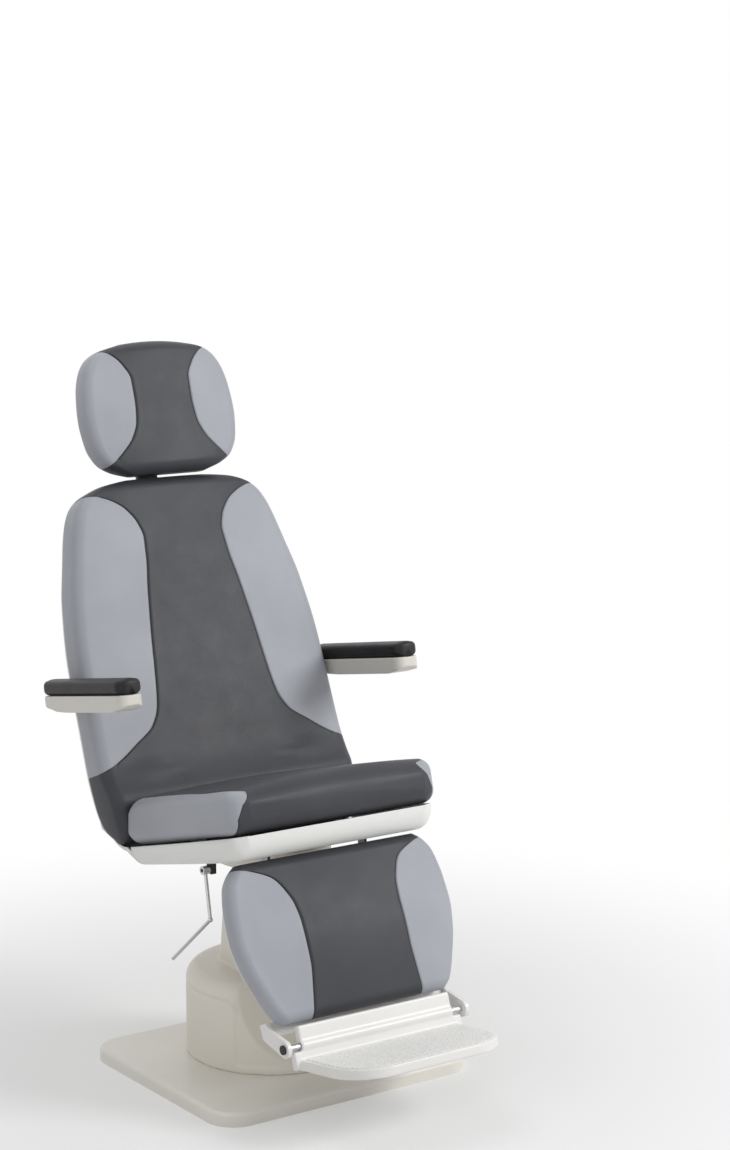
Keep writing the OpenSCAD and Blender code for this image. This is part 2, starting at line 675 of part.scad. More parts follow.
// Distance of the shell's rim and floor from the hinge, by the angle round it
rim_shares = [[0, 0.9], [20, 0.63], [40, 0.46], [57, 0.45], [90, 0.47]];
floor_shares = [[0, 1.58], [12, 1.36], [24, 1.14], [34, 1.03], [42, 1], [90, 1]];
shell_floor_shares = [[0, 0.22], [0.04, 0.7], [0.09, 0.95], [0.15, 1], [0.94, 1], [1, 1]];
rim_z = back_front - back_t;
function shell_w(y) = y < corner_y ? lip_half + (back_half - shell_inset - lip_half) * max(0, y / corner_y)
    : back_w(y) - shell_inset;
module back_shell() {
    color("#e6e4df") on_back() difference() {
        skin(concat(
            [for (i = [0 : lip_steps]) let (
                a = lip_turn * (1 - i / lip_steps),
                rim = back_t * lookup(a, rim_shares),
                floor_at = lip_r * lookup(a, floor_shares))
                [for (p = pan_loop(lip_half, -rim, -floor_at, shell_r))
                    [p[0], p[1] * sin(a), p[1] * cos(a)]]],
            [for (i = [1 : shell_steps]) let (
                y = (back_l - shell_gap) * (1 - cos(180 * i / shell_steps)) / 2,
                e = end_share(back_l - shell_gap - y, back_shell_d),
                full = lookup(y / back_l, shell_floor_shares) * (back_shell_d + clear))
                [for (p = pan_loop(shell_w(y), shell_rim(y) - clear, shell_rim(y) - wall / 4 - full * e,
                    shell_r))
                    [p[0], y, p[1]]]]), pan_cap(pan_n));
        translate([-notch_half, back_l - 3 * back_shell_d, stem_z - stem_t / 2 - guide_wall - clear])
            cube([2 * notch_half, 4 * back_shell_d, stem_t + 2 * guide_wall + 2 * clear]);
        for (side = [0, 1]) mirror([side, 0, 0])
            translate([back_half - 3 * shell_inset, arm_pin_y - arm_foot / 2 - clear, back_rail_z - clear])
                cube([4 * shell_inset, arm_foot + 2 * clear, arm_foot_t + 2 * clear]);
    }
}
shell_gap = 6;
function shell_rim(y) = y > corner_y ? rim_z
    : rim_z + corner_r - sqrt(max(0, corner_r * corner_r - pow(y - corner_y, 2)));

// Headrest carrier
stem_w = 50;
stem_t = 12;
stem_z = -101;
stem_in = 209;
stem_up = 159;
stem_low = back_l - stem_in;
stem_top = back_l + stem_up;
guide_wall = 4;
notch_half = stem_w / 2 + guide_wall + clear;
guide_l = 116;
guide_sink = 13;
guide_top = back_l - guide_sink;
guide_low = guide_top - guide_l;
module headrest_guide() {
    color("#3c4046") on_back() translate([0, guide_low, stem_z]) rotate([-90, 0, 0])
        linear_extrude(guide_top - guide_low) difference() {
            square([stem_w + 2 * guide_wall, stem_t + 2 * guide_wall], center = true);
            square([stem_w + 2 * fit, stem_t + 2 * fit], center = true);
        }
}
module headrest_stem() {
    color("#1f2022") on_back() translate([0, stem_low, stem_z]) rotate([-90, 0, 0])
        linear_extrude(stem_top - stem_low) plan(stem_w, stem_t, stem_t / 3);
}
tilt_up = 136;
tilt_y = back_l + tilt_up;
tilt_z = -84;
tilt_r = 5;
clamp_w = 44;
clamp_r = 10.5;
module headrest_clamp() {
    color("#2b2b2b") on_back() translate([-clamp_w / 2, tilt_y, tilt_z]) difference() {
        union() {
            rotate([0, 90, 0]) cylinder(r = clamp_r, h = clamp_w);
            translate([0, -clamp_r, stem_z + stem_t / 2 - tilt_z]) cube([clamp_w, 2 * clamp_r, clamp_r]);
        }
        translate([-overrun, 0, 0]) rotate([0, 90, 0]) cylinder(r = tilt_r + fit, h = clamp_w + 2 * overrun);
    }
}
head_ear_t = 7;
module tilt_pin() {
    color("#b0b3b6") on_back() translate([-clamp_w / 2 - head_ear_t - 1, tilt_y, tilt_z])
        rotate([0, 90, 0]) cylinder(r = tilt_r, h = clamp_w + 2 * head_ear_t + 2);
}
head_shell_d = 22;
head_inset = 26;
head_seat = 1.1;
head_low = -26;
head_steps = 18;
head_round = 26;
head_crown = 10;
head_edge = 24;
function head_w(y) = head_half * lookup((y - head_low) / head_l, head_half_shares);
module headrest_cushion() {
    color("#505154") on_head() skin([for (i = [0 : head_steps]) let (
        a = i / head_steps,
        y = head_low + head_l * drawn(a, end_draw),
        e = min(end_share(y - head_low + end_lap, head_round),
            end_share(head_low + head_l - y + end_lap, head_round)),
        mid = -head_t / 2,
        seam = head_half * lookup((y - head_low) / head_l, head_seam_shares)
            * min(1, head_w(y) / head_half + 0.1) - 2 * seam_w)
        [for (p = mirror_loop(pad_half(head_w(y), mid - (head_t / 2) * e + clear, mid + (head_t / 2) * e,
            head_edge * e, head_crown * e,
            seam, groove_at(i, head_steps, e)))) [p[0], y, p[1]]]], pad_cap(pad_n));
}
module headrest_shell() {
    color("#e6e4df") difference() {
        union() {
            on_head() skin([for (i = [0 : head_steps]) let (
                a = i / head_steps,
                y = head_low + shell_gap + (head_l - 2 * shell_gap) * drawn(a, end_draw),
                e = min(end_share(y - head_low - shell_gap, head_shell_d),
                    end_share(head_low + head_l - shell_gap - y, head_shell_d)))
                [for (p = pan_loop(head_w(y) - head_inset, -head_t + head_seat,
                    -head_t - wall / 4 - head_shell_d * e, head_shell_d)) [p[0], y, p[1]]]], pan_cap(pan_n));
            for (side = [0, 1]) mirror([side, 0, 0]) on_back()
                translate([clamp_w / 2 + fit * 4, tilt_y, tilt_z]) {
                    rotate([0, 90, 0]) cylinder(r = clamp_r, h = head_ear_t);
                    translate([0, -clamp_r, 0]) cube([head_ear_t, 2 * clamp_r, head_ear_l]);
                }
        }
        on_back() translate([-clamp_w, tilt_y, tilt_z]) rotate([0, 90, 0])
            cylinder(r = tilt_r + fit, h = 2 * clamp_w);
    }
}
head_ear_l = 25;

// Armrests, the right one drawn and the left one its mirror image
arm_pin_y = 288;
arm_pin_z = -54;
arm_x = back_half + arm_gap + 0.5;
arm_back = 32;
arm_pad_t = 30;
arm_case_t = 33;
arm_corner = 20;
arm_edge = 9;
arm_drop = 16;
arm_foot = 22;
arm_foot_t = 12;
arm_plate_t = 3;
arm_pin_r = 8;
arm_pin_l = 30;
module on_arm() {
    translate([-arm_x - arm_w, 0, 0]) on_back() translate([0, arm_pin_y, arm_pin_z])
        rotate([back_lean - 90 - arm_tilt, 0, 0]) translate([0, 0, arm_drop]) children();
}
module arm_case() {
    color("#dedbd4") difference() {
        on_arm() intersection() {
            translate([arm_w / 2, arm_back - arm_l / 2, -arm_case_t])
                linear_extrude(arm_case_t) plan(arm_w, arm_l, arm_corner);
            translate([-overrun, 0, 0]) rotate([90, 0, 90]) linear_extrude(arm_w + 2 * overrun) polygon([
                [arm_back + overrun, 0], [arm_back + overrun, -arm_case_t * 0.45],
                [arm_back - arm_l * 0.05, -arm_case_t * 0.7], [arm_back - arm_l * 0.18, -arm_case_t * 0.95],
                [arm_back - arm_l * 0.3, -arm_case_t], [arm_back - arm_l * 0.86, -arm_case_t],
                [arm_back - arm_l * 0.96, -arm_case_t * 0.85],
                [arm_back - arm_l - overrun, -arm_case_t * 0.6],
                [arm_back - arm_l - overrun, 0]]);
        }
        on_back() translate([-arm_x - arm_pin_l - 2, arm_pin_y, arm_pin_z]) rotate([0, 90, 0])
            cylinder(r = arm_pin_r + fit, h = arm_pin_l + 4);
    }
}
module arm_pad() {
    color("#2d2d2f") on_arm() translate([arm_w / 2, arm_back - arm_l / 2, 0])
        slab(arm_w, arm_l, arm_pad_t, arm_corner, arm_edge);
}
module arm_bracket() {
    color("#8f9398") on_back() {
        translate([-arm_x + 0.5, arm_pin_y, arm_pin_z]) rotate([0, 90, 0])
            cylinder(r = arm_foot / 2, h = arm_plate_t);
        translate([-arm_x + 0.5, arm_pin_y - arm_foot / 2, back_rail_z])
            cube([arm_plate_t, arm_foot, arm_pin_z - back_rail_z]);
        translate([-arm_x + 0.5, arm_pin_y - arm_foot / 2, back_rail_z])
            cube([arm_x - 0.5 - back_ear_x - rail_w, arm_foot, arm_foot_t]);
        translate([-arm_x - arm_pin_l, arm_pin_y, arm_pin_z]) rotate([0, 90, 0])
            cylinder(r = arm_pin_r, h = arm_pin_l + 0.5);
    }
}
module arm_casing_right() {
    arm_case();
}
module arm_pad_right() {
    arm_pad();
}
module arm_bracket_right() {
    arm_bracket();
}
module arm_casing_left() {
    mirror([1, 0, 0]) arm_case();
}
module arm_pad_left() {
    mirror([1, 0, 0]) arm_pad();
}
module arm_bracket_left() {
    mirror([1, 0, 0]) arm_bracket();
}

// Leg rest
leg_crown = 26;
leg_round = 22;
leg_edge = 22;
leg_steps = 20;
leg_shell_d = 18;
leg_inset = 13;
leg_slot_in = leg_ear_x - 4;
leg_slot_out = leg_ear_x + 2 * ear_t + 4;
leg_slot_l = 58;
leg_slot_top = 12;
function leg_w(u) = leg_half * lookup(u, leg_half_shares);
module leg_slots() {
    for (side = [0, 1]) mirror([side, 0, 0])
        translate([leg_slot_in, -leg_slot_l, -3 * leg_t - leg_slot_top])
            cube([leg_slot_out - leg_slot_in, 2 * leg_slot_l, 3 * leg_t]);
}
module leg_cushion() {
    color("#5a5f67") on_leg() difference() {
        skin([for (i = [0 : leg_steps]) let (
            a = i / leg_steps,
            u = drawn(a, end_draw),
            e = min(end_share(u * leg_l + end_lap, leg_round),
                end_share((1 - u) * leg_l + end_lap, leg_round)),
            mid = -leg_t / 2,
            crown = leg_crown * (0.1 + 0.9 * sin(180 * u)) * e,
            seam = leg_half * lookup(u, leg_seam_shares) - seam_w)
            [for (p = mirror_loop(pad_half(leg_w(u), mid + mid * e + clear, mid - mid * e, leg_edge * e,
                crown, seam, groove_at(i, leg_steps, e))))
                [p[0], -u * leg_l, p[1]]]], pad_cap(pad_n));
        leg_slots();
    }
}
module leg_backing() {
    color("#e6e4df") on_leg() {
        difference() {
            skin([for (i = [0 : leg_steps]) let (
                a = i / leg_steps,
                u = drawn(a, end_draw),
                y = -shell_gap - u * (leg_l - 2 * shell_gap),
                e = min(end_share(u * leg_l, leg_shell_d), end_share((1 - u) * leg_l, leg_shell_d)))
                [for (p = pan_loop(leg_w(u) - leg_inset, -leg_t, -leg_t - wall / 4 - leg_shell_d * e,
                    leg_shell_d)) [p[0], y, p[1]]]], pan_cap(pan_n));
            leg_slots();
        }
        translate([-foot_x, -leg_l - ledge_h, -leg_t - leg_shell_d])
            cube([2 * foot_x, ledge_h + ledge_lap, leg_shell_d]);
    }
}
foot_x = 205;
ledge_h = 16;
ledge_lap = 12;
leg_rail_x = leg_ear_x + ear_t + clear;
leg_rail_z = -62;
leg_rail_d = 12;
module leg_frame() {
    color("#8f9398") difference() {
        on_leg() for (side = [0, 1]) mirror([side, 0, 0]) {
            translate([leg_rail_x, leg_bar_y, leg_rail_z])
                cube([ear_t, -leg_pin_u + ear_r - leg_bar_y - ear_r + leg_pin_u * 2, leg_rail_d]);
            translate([leg_rail_x, leg_pin_u, leg_pin_n]) rotate([0, 90, 0])
                cylinder(r = leg_boss_r, h = ear_t);
            translate([leg_rail_x, leg_pin_u, leg_pin_n]) rotate([leg_bar_turn, 0, 0])
                translate([0, -leg_bar_l, -leg_boss_r * 0.8]) cube([ear_t, leg_bar_l, leg_boss_r * 1.6]);
            translate([leg_rail_x, -leg_l + 2 * ledge_h, leg_rail_z])
                cube([rail_w, leg_l - 2 * ledge_h - leg_slot_l, leg_rail_d]);
        }
        translate([-2 * leg_ear_x, leg_pin_y, leg_pin_z]) rotate([0, 90, 0])
            cylinder(r = leg_pin_r + fit, h = 4 * leg_ear_x);
    }
    color("#8f9398") on_leg() for (y = [-leg_l + 2 * ledge_h, -leg_slot_l - cross_l])
        translate([-leg_rail_x - overrun, y, leg_rail_z])
            cube([2 * leg_rail_x + 2 * overrun, cross_l, leg_rail_d]);
}
leg_bar_y = -70;
leg_bar_l = 52;
leg_bar_turn = 38;
module leg_pin() {
    color("#b0b3b6") for (side = [0, 1]) mirror([side, 0, 0])
        translate([leg_ear_x - 1, leg_pin_y, leg_pin_z]) rotate([0, 90, 0])
            cylinder(r = leg_pin_r, h = 2 * ear_t + 2);
}

// Foot rest
foot_y = leg_y + bracket_u * sin(leg_lean) - bracket_n * cos(leg_lean);
foot_z = leg_z + bracket_u * cos(leg_lean) + bracket_n * sin(leg_lean);
bracket_t = 8;
bracket_r = 17;
rod_r = 6;
module foot_brackets() {
    color("#e6e4df") for (side = [0, 1]) mirror([side, 0, 0])
        on_leg() translate([foot_x, 0, 0]) rotate([90, 0, 90]) linear_extrude(bracket_t) difference() {
            union() {
                translate([bracket_u, bracket_n]) circle(bracket_r);
                polygon([
                    [bracket_u - bracket_r * 0.7, bracket_n - bracket_r * 0.7],
                    [bracket_u + bracket_r * 0.8, bracket_n + bracket_r * 0.6],
                    [-leg_l - ledge_h * 0.2, -leg_t * 0.75],
                    [-leg_l + ledge_lap, -leg_t * 0.9],
                    [-leg_l + ledge_lap, -leg_t - leg_shell_d],
                    [-leg_l - ledge_h, -leg_t - leg_shell_d]]);
            }
            translate([bracket_u, bracket_n]) circle(rod_r + fit);
        }
}
module foot_rod() {
    color("#b0b3b6") translate([-foot_x - bracket_t, foot_y, foot_z]) rotate([0, 90, 0])
        cylinder(r = rod_r, h = 2 * (foot_x + bracket_t));
}
cap_r = 9;
cap_t = 4;
module foot_pins() {
    color("#3c4046") for (side = [0, 1]) mirror([side, 0, 0])
        translate([foot_x + bracket_t, foot_y, foot_z]) rotate([0, 90, 0]) cylinder(r = cap_r, h = cap_t);
}
module on_foot() {
    translate([0, foot_y, foot_z]) rotate([-foot_tilt, 0, 0]) children();
}
step_z = -24;
upstand_half = 196;
upstand_t = 17;
upstand_top = 37;
upstand_lean = 12;
foot_corner = 88;
notch_w = 18;
barrel_r = 12;
tread_t = 2;
tread_inset = 9;
module foot_plan(half, d, r) {
    translate([-half, -d + r]) square([2 * half, d - r]);
    translate([-half + r, -d]) square([2 * half - 2 * r, d]);
    for (x = [-1, 1]) translate([x * (half - r), -d + r]) circle(r, $fn = 96);
}
module footplate() {
    color("#e2e0db") on_foot() difference() {
        union() {
            translate([0, 0, step_z - foot_t]) linear_extrude(foot_t)
                foot_plan(foot_half, foot_d, foot_corner);
            translate([0, 0, step_z - foot_t]) rotate([-upstand_lean, 0, 0])
                translate([-upstand_half, -upstand_t, 0])
                    cube([2 * upstand_half, upstand_t, upstand_top - step_z + foot_t]);
            translate([-upstand_half, 0, 0]) rotate([0, 90, 0]) cylinder(r = barrel_r, h = 2 * upstand_half);
        }
        translate([0, -upstand_t, step_z - tread_t / 2]) linear_extrude(foot_t)
            foot_plan(foot_half - tread_inset, foot_d - upstand_t - tread_inset, foot_corner - tread_inset);
        translate([-2 * foot_x, 0, 0]) rotate([0, 90, 0]) cylinder(r = rod_r + fit, h = 4 * foot_x);
        for (side = [0, 1]) mirror([side, 0, 0])
            translate([upstand_half - notch_w, -barrel_r - upstand_t, -barrel_r * 0.7])
                cube([notch_w + overrun, 2 * (barrel_r + upstand_t), 2 * upstand_top]);
    }
}
module foot_tread() {
    color("#efeeea") on_foot() translate([0, -upstand_t - clear, step_z - tread_t / 2])
        linear_extrude(tread_t) foot_plan(foot_half - tread_inset - clear,
            foot_d - upstand_t - tread_inset - 2 * clear, foot_corner - tread_inset - clear);
}

// Lock lever under the seat
lever_in = 18;
lever_x = lever_in - neck_head_r;
lever_y = neck_head_r - lever_in - 2;
lever_drop = 98;
lever_z = hinge_z - lever_drop;
knee_in = 18;
knee_l = 100;
tip_l = 121;
tip_reach = 149;
knee_y = lever_y - knee_in;
knee_z = lever_z - knee_l;
tip_y = knee_y + tip_reach;
tip_z = knee_z - tip_l;
lever_eye = 9;
knee_r = 5.5;
lever_pin_r = 4;
lever_post = 12;
module lever_pivot() {
    color("#2b2b2b") difference() {
        union() {
            translate([lever_x + lever_eye, lever_y - lever_eye, lever_z - lever_eye])
                cube([lever_post, 2 * lever_eye, 8 * lever_eye]);
            translate([lever_x - lever_eye, lever_y, lever_z]) rotate([0, 90, 0])
                cylinder(r = lever_pin_r, h = 2 * lever_eye + 1);
        }
        on_seat() translate([-seat_half, -seat_l, -tray_depth - tray_sink])
            cube([2 * seat_half, 2 * seat_l, 2 * seat_l]);
    }
}
tray_sink = 0.7;
module lever_rod() {
    color("#c9ccd0") difference() {
        union() {
            rod_between([lever_x, lever_y, lever_z], [lever_x, knee_y, knee_z], lever_d / 2);
            translate([lever_x, knee_y, knee_z]) sphere(knee_r);
            rod_between([lever_x, knee_y, knee_z], [lever_x, tip_y, tip_z], lever_d / 2);
            translate([lever_x - lever_eye + 1, lever_y, lever_z]) rotate([0, 90, 0])
                cylinder(r = lever_eye, h = 2 * lever_eye - 2);
        }
        translate([lever_x - 2 * lever_eye, lever_y, lever_z]) rotate([0, 90, 0])
            cylinder(r = lever_pin_r + fit, h = 4 * lever_eye);
    }
}
module rod_between(a, b, r) {
    d = b - a;
    translate(a) rotate([0, acos(d[2] / norm(d)), atan2(d[1], d[0])]) cylinder(r = r, h = norm(d));
}

base_plate();
plate_pads();
base_cover();
lift_guide();
guide_bolts();
lift_motor();
power_inlet();
lift_ram();
swivel_bearing();
column_head();
seat_frame();
seat_shell();
seat_cushion();
back_motor();
hinge_pins();
back_frame();
back_shell();
back_cushion();
headrest_guide();
headrest_stem();
headrest_clamp();
tilt_pin();
headrest_shell();
headrest_cushion();
arm_bracket_right();
arm_casing_right();
arm_pad_right();
arm_bracket_left();
arm_casing_left();
arm_pad_left();
leg_frame();
leg_backing();
leg_cushion();
leg_pin();
foot_brackets();
foot_rod();
foot_pins();
footplate();
foot_tread();
lever_pivot();
lever_rod();
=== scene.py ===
import json
import math

import bmesh
import bpy
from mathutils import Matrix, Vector


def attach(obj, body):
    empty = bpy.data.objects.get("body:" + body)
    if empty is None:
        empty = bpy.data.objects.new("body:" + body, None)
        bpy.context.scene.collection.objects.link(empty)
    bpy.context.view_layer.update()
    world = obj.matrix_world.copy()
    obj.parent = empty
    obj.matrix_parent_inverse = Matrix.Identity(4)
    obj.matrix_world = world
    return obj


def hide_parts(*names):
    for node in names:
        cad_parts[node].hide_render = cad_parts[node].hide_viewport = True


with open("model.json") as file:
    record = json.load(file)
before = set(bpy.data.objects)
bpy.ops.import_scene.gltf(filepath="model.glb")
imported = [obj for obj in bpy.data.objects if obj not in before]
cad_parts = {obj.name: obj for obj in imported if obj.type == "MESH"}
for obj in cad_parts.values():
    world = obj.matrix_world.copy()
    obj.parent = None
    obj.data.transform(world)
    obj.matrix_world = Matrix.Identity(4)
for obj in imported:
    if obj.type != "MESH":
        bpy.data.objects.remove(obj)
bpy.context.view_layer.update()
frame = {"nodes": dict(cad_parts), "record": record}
nodes = frame["nodes"]
print("frame loaded,", len(nodes), "CAD nodes")


def linearColour(hexText):  # an sRGB hex colour as linear RGBA
    values = [int(hexText[i:i + 2], 16) / 255 for i in (1, 3, 5)]
    return [v / 12.92 if v <= 0.04045 else ((v + 0.055) / 1.055) ** 2.4 for v in values] + [1]


def addNode(tree, kind, settings=None, inputs=None, links=None):
    made = tree.nodes.new(kind)
    for name, value in (settings or {}).items():
        setattr(made, name, value)
    for name, value in (inputs or {}).items():
        made.inputs[name].default_value = value
    for name, source in (links or {}).items():
        tree.links.new(source, made.inputs[name])
    return made


def smoothAt(table, t):  # a monotone curve through [share, value] pairs
    xs, ys = [p[0] for p in table], [p[1] for p in table]
    if t <= xs[0]:
        return ys[0]
    if t >= xs[-1]:
        return ys[-1]
    i = max(k for k in range(len(xs) - 1) if xs[k] <= t)
    slopes = [(ys[k + 1] - ys[k]) / (xs[k + 1] - xs[k]) for k in range(len(xs) - 1)]

    def tangent(k):
        if k == 0 or k == len(xs) - 1:
            return slopes[min(k, len(slopes) - 1)]
        a, b = slopes[k - 1], slopes[k]
        return 0 if a * b <= 0 else 2 * a * b / (a + b)

    wide = xs[i + 1] - xs[i]
    s = (t - xs[i]) / wide
    return (ys[i] * (1 + 2 * s) * (1 - s) ** 2 + ys[i + 1] * s * s * (3 - 2 * s)
            + wide * (tangent(i) * s * (1 - s) ** 2 - tangent(i + 1) * s * s * (1 - s)))


def endShare(distance, radius):  # how full a rounded end is at a distance from it
    return 1 if distance >= radius else math.sqrt(max(0, 1 - (1 - distance / radius) ** 2))


def tiltedPlace(originY, originZ, lean, sink=0):  # local Y runs up a panel and local Z out of its front
    c, s = math.cos(math.radians(lean)), math.sin(math.radians(lean))

    def place(x, y, z):
        z += sink
        return (x, originY + y * c - z * s, originZ + y * s + z * c)

    return place


joints = {joint["name"]: joint.get("pos_m") for joint in frame["record"]["behaviour"]["joints"]}
hingeY, hingeZ = joints["recline"][1:]  # the back and the seat both start at the back's hinge
axes = {"back": (hingeY, hingeZ, 68.4), "seat": (hingeY, hingeZ, -14.5), "seatSink": 0.026,
        "headrest": (0.377969, 1.198977, 73.3), "leg": (-0.204988, 0.491034, 64.2)}  # Y, Z and lean in degrees
onBack = tiltedPlace(*axes["back"])
onHead = tiltedPlace(*axes["headrest"])
onLeg = tiltedPlace(*axes["leg"])
onSeat = tiltedPlace(*axes["seat"], sink=-axes["seatSink"])


def meshObject(name, points, faces, materials, smooth=True):
    mesh = bpy.data.meshes.new(name)
    mesh.from_pydata(points, [], faces)
    made = bpy.data.objects.new(name, mesh)
    bpy.context.collection.objects.link(made)
    for material in materials:
        mesh.materials.append(material)
    mesh.polygons.foreach_set("use_smooth", [smooth] * len(mesh.polygons))
    mesh.validate()
    mesh.update()
    return made


def isInsideOut(made):
    volume = 0
    for polygon in made.data.polygons:
        corners = [made.data.vertices[i].co for i in polygon.vertices]
        for k in range(1, len(corners) - 1):
            volume += corners[0].dot(corners[k].cross(corners[k + 1]))
    return volume < 0


def skinned(name, loops, materials, seamDistances=None):  # closed skin over equal loops, its ends capped
    count = len(loops[0])
    points = [p for loop in loops for p in loop]
    faces = []
    for j in range(len(loops) - 1):
        for i in range(count):
            k = (i + 1) % count
            faces.append((j * count + i, j * count + k, (j + 1) * count + k, (j + 1) * count + i))
    for end in (0, len(loops) - 1):
        centre = [sum(p[n] for p in loops[end]) / count for n in range(3)]
        points.append(centre)
        for i in range(count):
            k = (i + 1) % count
            ring = (end * count + k, end * count + i) if end == 0 else (end * count + i, end * count + k)
            faces.append((*ring, len(points) - 1))
    made = meshObject(name, points, faces, materials)
    if isInsideOut(made):
        made.data.flip_normals()
    if seamDistances:
        ends = [min(seamDistances[0]), min(seamDistances[-1])]
        side = made.data.attributes.new("fromSeam", "FLOAT", "POINT")
        side.data.foreach_set("value", [d for loop in seamDistances for d in loop] + ends)
    return made


def newMaterial(name, colour, roughness, metallic=0.0):
    material = bpy.data.materials.new(name)
    material.use_nodes = True
    tree = material.node_tree
    shader = tree.nodes["Principled BSDF"]
    shader.inputs["Base Color"].default_value = linearColour(colour)
    shader.inputs["Roughness"].default_value = roughness
    shader.inputs["Metallic"].default_value = metallic
    where = addNode(tree, "ShaderNodeTexCoord").outputs["Object"]
    return material, tree, shader, where


def paintRamp(ramp, stops):  # stops: each a place along the ramp and its colour
    for element, (position, colour) in zip(ramp.color_ramp.elements, stops):
        element.position = position
        element.color = linearColour(colour)


def varyColour(tree, shader, where, colour, darker, size):  # slow mottling between two near shades
    cloud = addNode(tree, "ShaderNodeTexNoise", inputs={"Scale": 1 / size, "Detail": 4.0},
                    links={"Vector": where})
    ramp = addNode(tree, "ShaderNodeValToRGB", links={"Fac": cloud.outputs["Fac"]})
    paintRamp(ramp, ((0.35, darker), (0.75, colour)))
    tree.links.new(ramp.outputs["Color"], shader.inputs["Base Color"])
    return ramp


def varyRoughness(tree, shader, where, spread, size):  # duller and glossier patches, size in metres
    cloud = addNode(tree, "ShaderNodeTexNoise", inputs={"Scale": 1 / size, "Detail": 3.0},
                    links={"Vector": where})
    span = addNode(tree, "ShaderNodeMapRange", inputs={"To Min": spread[0], "To Max": spread[1]},
                   links={"Value": cloud.outputs["Fac"]})
    tree.links.new(span.outputs["Result"], shader.inputs["Roughness"])


def unevenSkin(tree, shader, where, size, detail, depth, strength):  # shallow relief, sizes in metres
    noise = addNode(tree, "ShaderNodeTexNoise", inputs={"Scale": 1 / size, "Detail": detail},
                    links={"Vector": where})
    relief = addNode(tree, "ShaderNodeBump", inputs={"Distance": depth, "Strength": strength},
                     links={"Height": noise.outputs["Fac"]})
    tree.links.new(relief.outputs["Normal"], shader.inputs["Normal"])
    return relief


# the last three entries paint shade into each seam's fold: full up to the first reach from the seam, gone by
# the second, in metres, in the colour given
vinylLook = {"roughness": 0.42, "mottle": 0.16, "satin": (0.38, 0.52), "satinPatch": 0.05, "pebble": 0.0022,
             "pebbleEdge": 0.25, "pebbleDepth": 0.00018, "pebbleStrength": 0.5, "pull": 0.045,
             "pullDepth": 0.0012, "pullStrength": 0.25, "sheen": 0.02, "specular": 0.32,
             "cut": 0.0004, "foldShadeFrom": 0.0005, "foldShadeTo": 0.0017, "foldShadeColour": "#2C2D30"}


def upholsteryVinyl(name, colour, darker, sideColour=None, sideDarker=None):
    # vinyl, or a moulded polyurethane skin, with a fine leather grain: a broad, broken satin sheen
    look = vinylLook
    material, tree, shader, where = newMaterial(name, colour, look["roughness"])
    middle = varyColour(tree, shader, where, colour, darker, look["mottle"])
    varyRoughness(tree, shader, where, look["satin"], look["satinPatch"])
    grain = addNode(tree, "ShaderNodeTexVoronoi", {"feature": "DISTANCE_TO_EDGE"},
                    {"Scale": 1 / look["pebble"], "Randomness": 1.0}, {"Vector": where})
    edge = addNode(tree, "ShaderNodeMapRange", inputs={"From Max": look["pebbleEdge"]},
                   links={"Value": grain.outputs["Distance"]})
    pulled = unevenSkin(tree, shader, where, look["pull"], 2.0, look["pullDepth"], look["pullStrength"])
    pebbled = addNode(tree, "ShaderNodeBump",
                      inputs={"Distance": look["pebbleDepth"], "Strength": look["pebbleStrength"]},
                      links={"Height": edge.outputs["Result"], "Normal": pulled.outputs["Normal"]})
    tree.links.new(pebbled.outputs["Normal"], shader.inputs["Normal"])
    shader.inputs["Sheen Weight"].default_value = look["sheen"]
    shader.inputs["Specular IOR Level"].default_value = look["specular"]
    if sideColour:  # the side panels are cut from paler vinyl, and the seams between lie in a fold darkened with painted shade
        sides = varyColour(tree, shader, where, sideColour, sideDarker, look["mottle"])
        seam = addNode(tree, "ShaderNodeAttribute", {"attribute_name": "fromSeam"})
        cut = addNode(tree, "ShaderNodeMapRange", inputs={"From Min": -look["cut"], "From Max": look["cut"]},
                      links={"Value": seam.outputs["Fac"]})
        twoTone = addNode(tree, "ShaderNodeMix", {"data_type": "RGBA"},
                          links={"Factor": cut.outputs["Result"]})
        tree.links.new(middle.outputs["Color"], twoTone.inputs["A"])
        tree.links.new(sides.outputs["Color"], twoTone.inputs["B"])
        # painted shade: close to each seam the colour darkens to the fold colour, where the fold would be
        # shaded
        near = addNode(tree, "ShaderNodeMath", {"operation": "ABSOLUTE"}, links={0: seam.outputs["Fac"]})
        foldShade = addNode(tree, "ShaderNodeMapRange", {"interpolation_type": "SMOOTHSTEP"},
                       {"From Min": look["foldShadeFrom"], "From Max": look["foldShadeTo"]},
                       {"Value": near.outputs["Value"]})
        whole = addNode(tree, "ShaderNodeMix", {"data_type": "RGBA"},
                        links={"Factor": foldShade.outputs["Result"]})
        whole.inputs["A"].default_value = linearColour(look["foldShadeColour"])
        tree.links.new(twoTone.outputs["Result"], whole.inputs["B"])
        tree.links.new(whole.outputs["Result"], shader.inputs["Base Color"])
    return material


def texturedFinish(name, colour, darker, roughness, look):  # what moulded plastic and enamel have in common
    material, tree, shader, where = newMaterial(name, colour, roughness)
    varyColour(tree, shader, where, colour, darker, look["mottle"])
    spread = (roughness - look["glossier"], roughness + look["duller"])
    varyRoughness(tree, shader, where, spread, look["glossPatch"])
    unevenSkin(tree, shader, where, look["grain"], look["detail"], look["depth"], look["strength"])
    shader.inputs["Coat Weight"].default_value = look["coat"]
    shader.inputs["Coat Roughness"].default_value = look["coatRoughness"]
    return material


plasticLook = {"mottle": 0.35, "glossier": 0.05, "duller": 0.07, "glossPatch": 0.09, "grain": 0.0009,
               "detail": 2.0, "depth": 0.00006, "strength": 0.4, "coat": 0, "coatRoughness": 0.03}


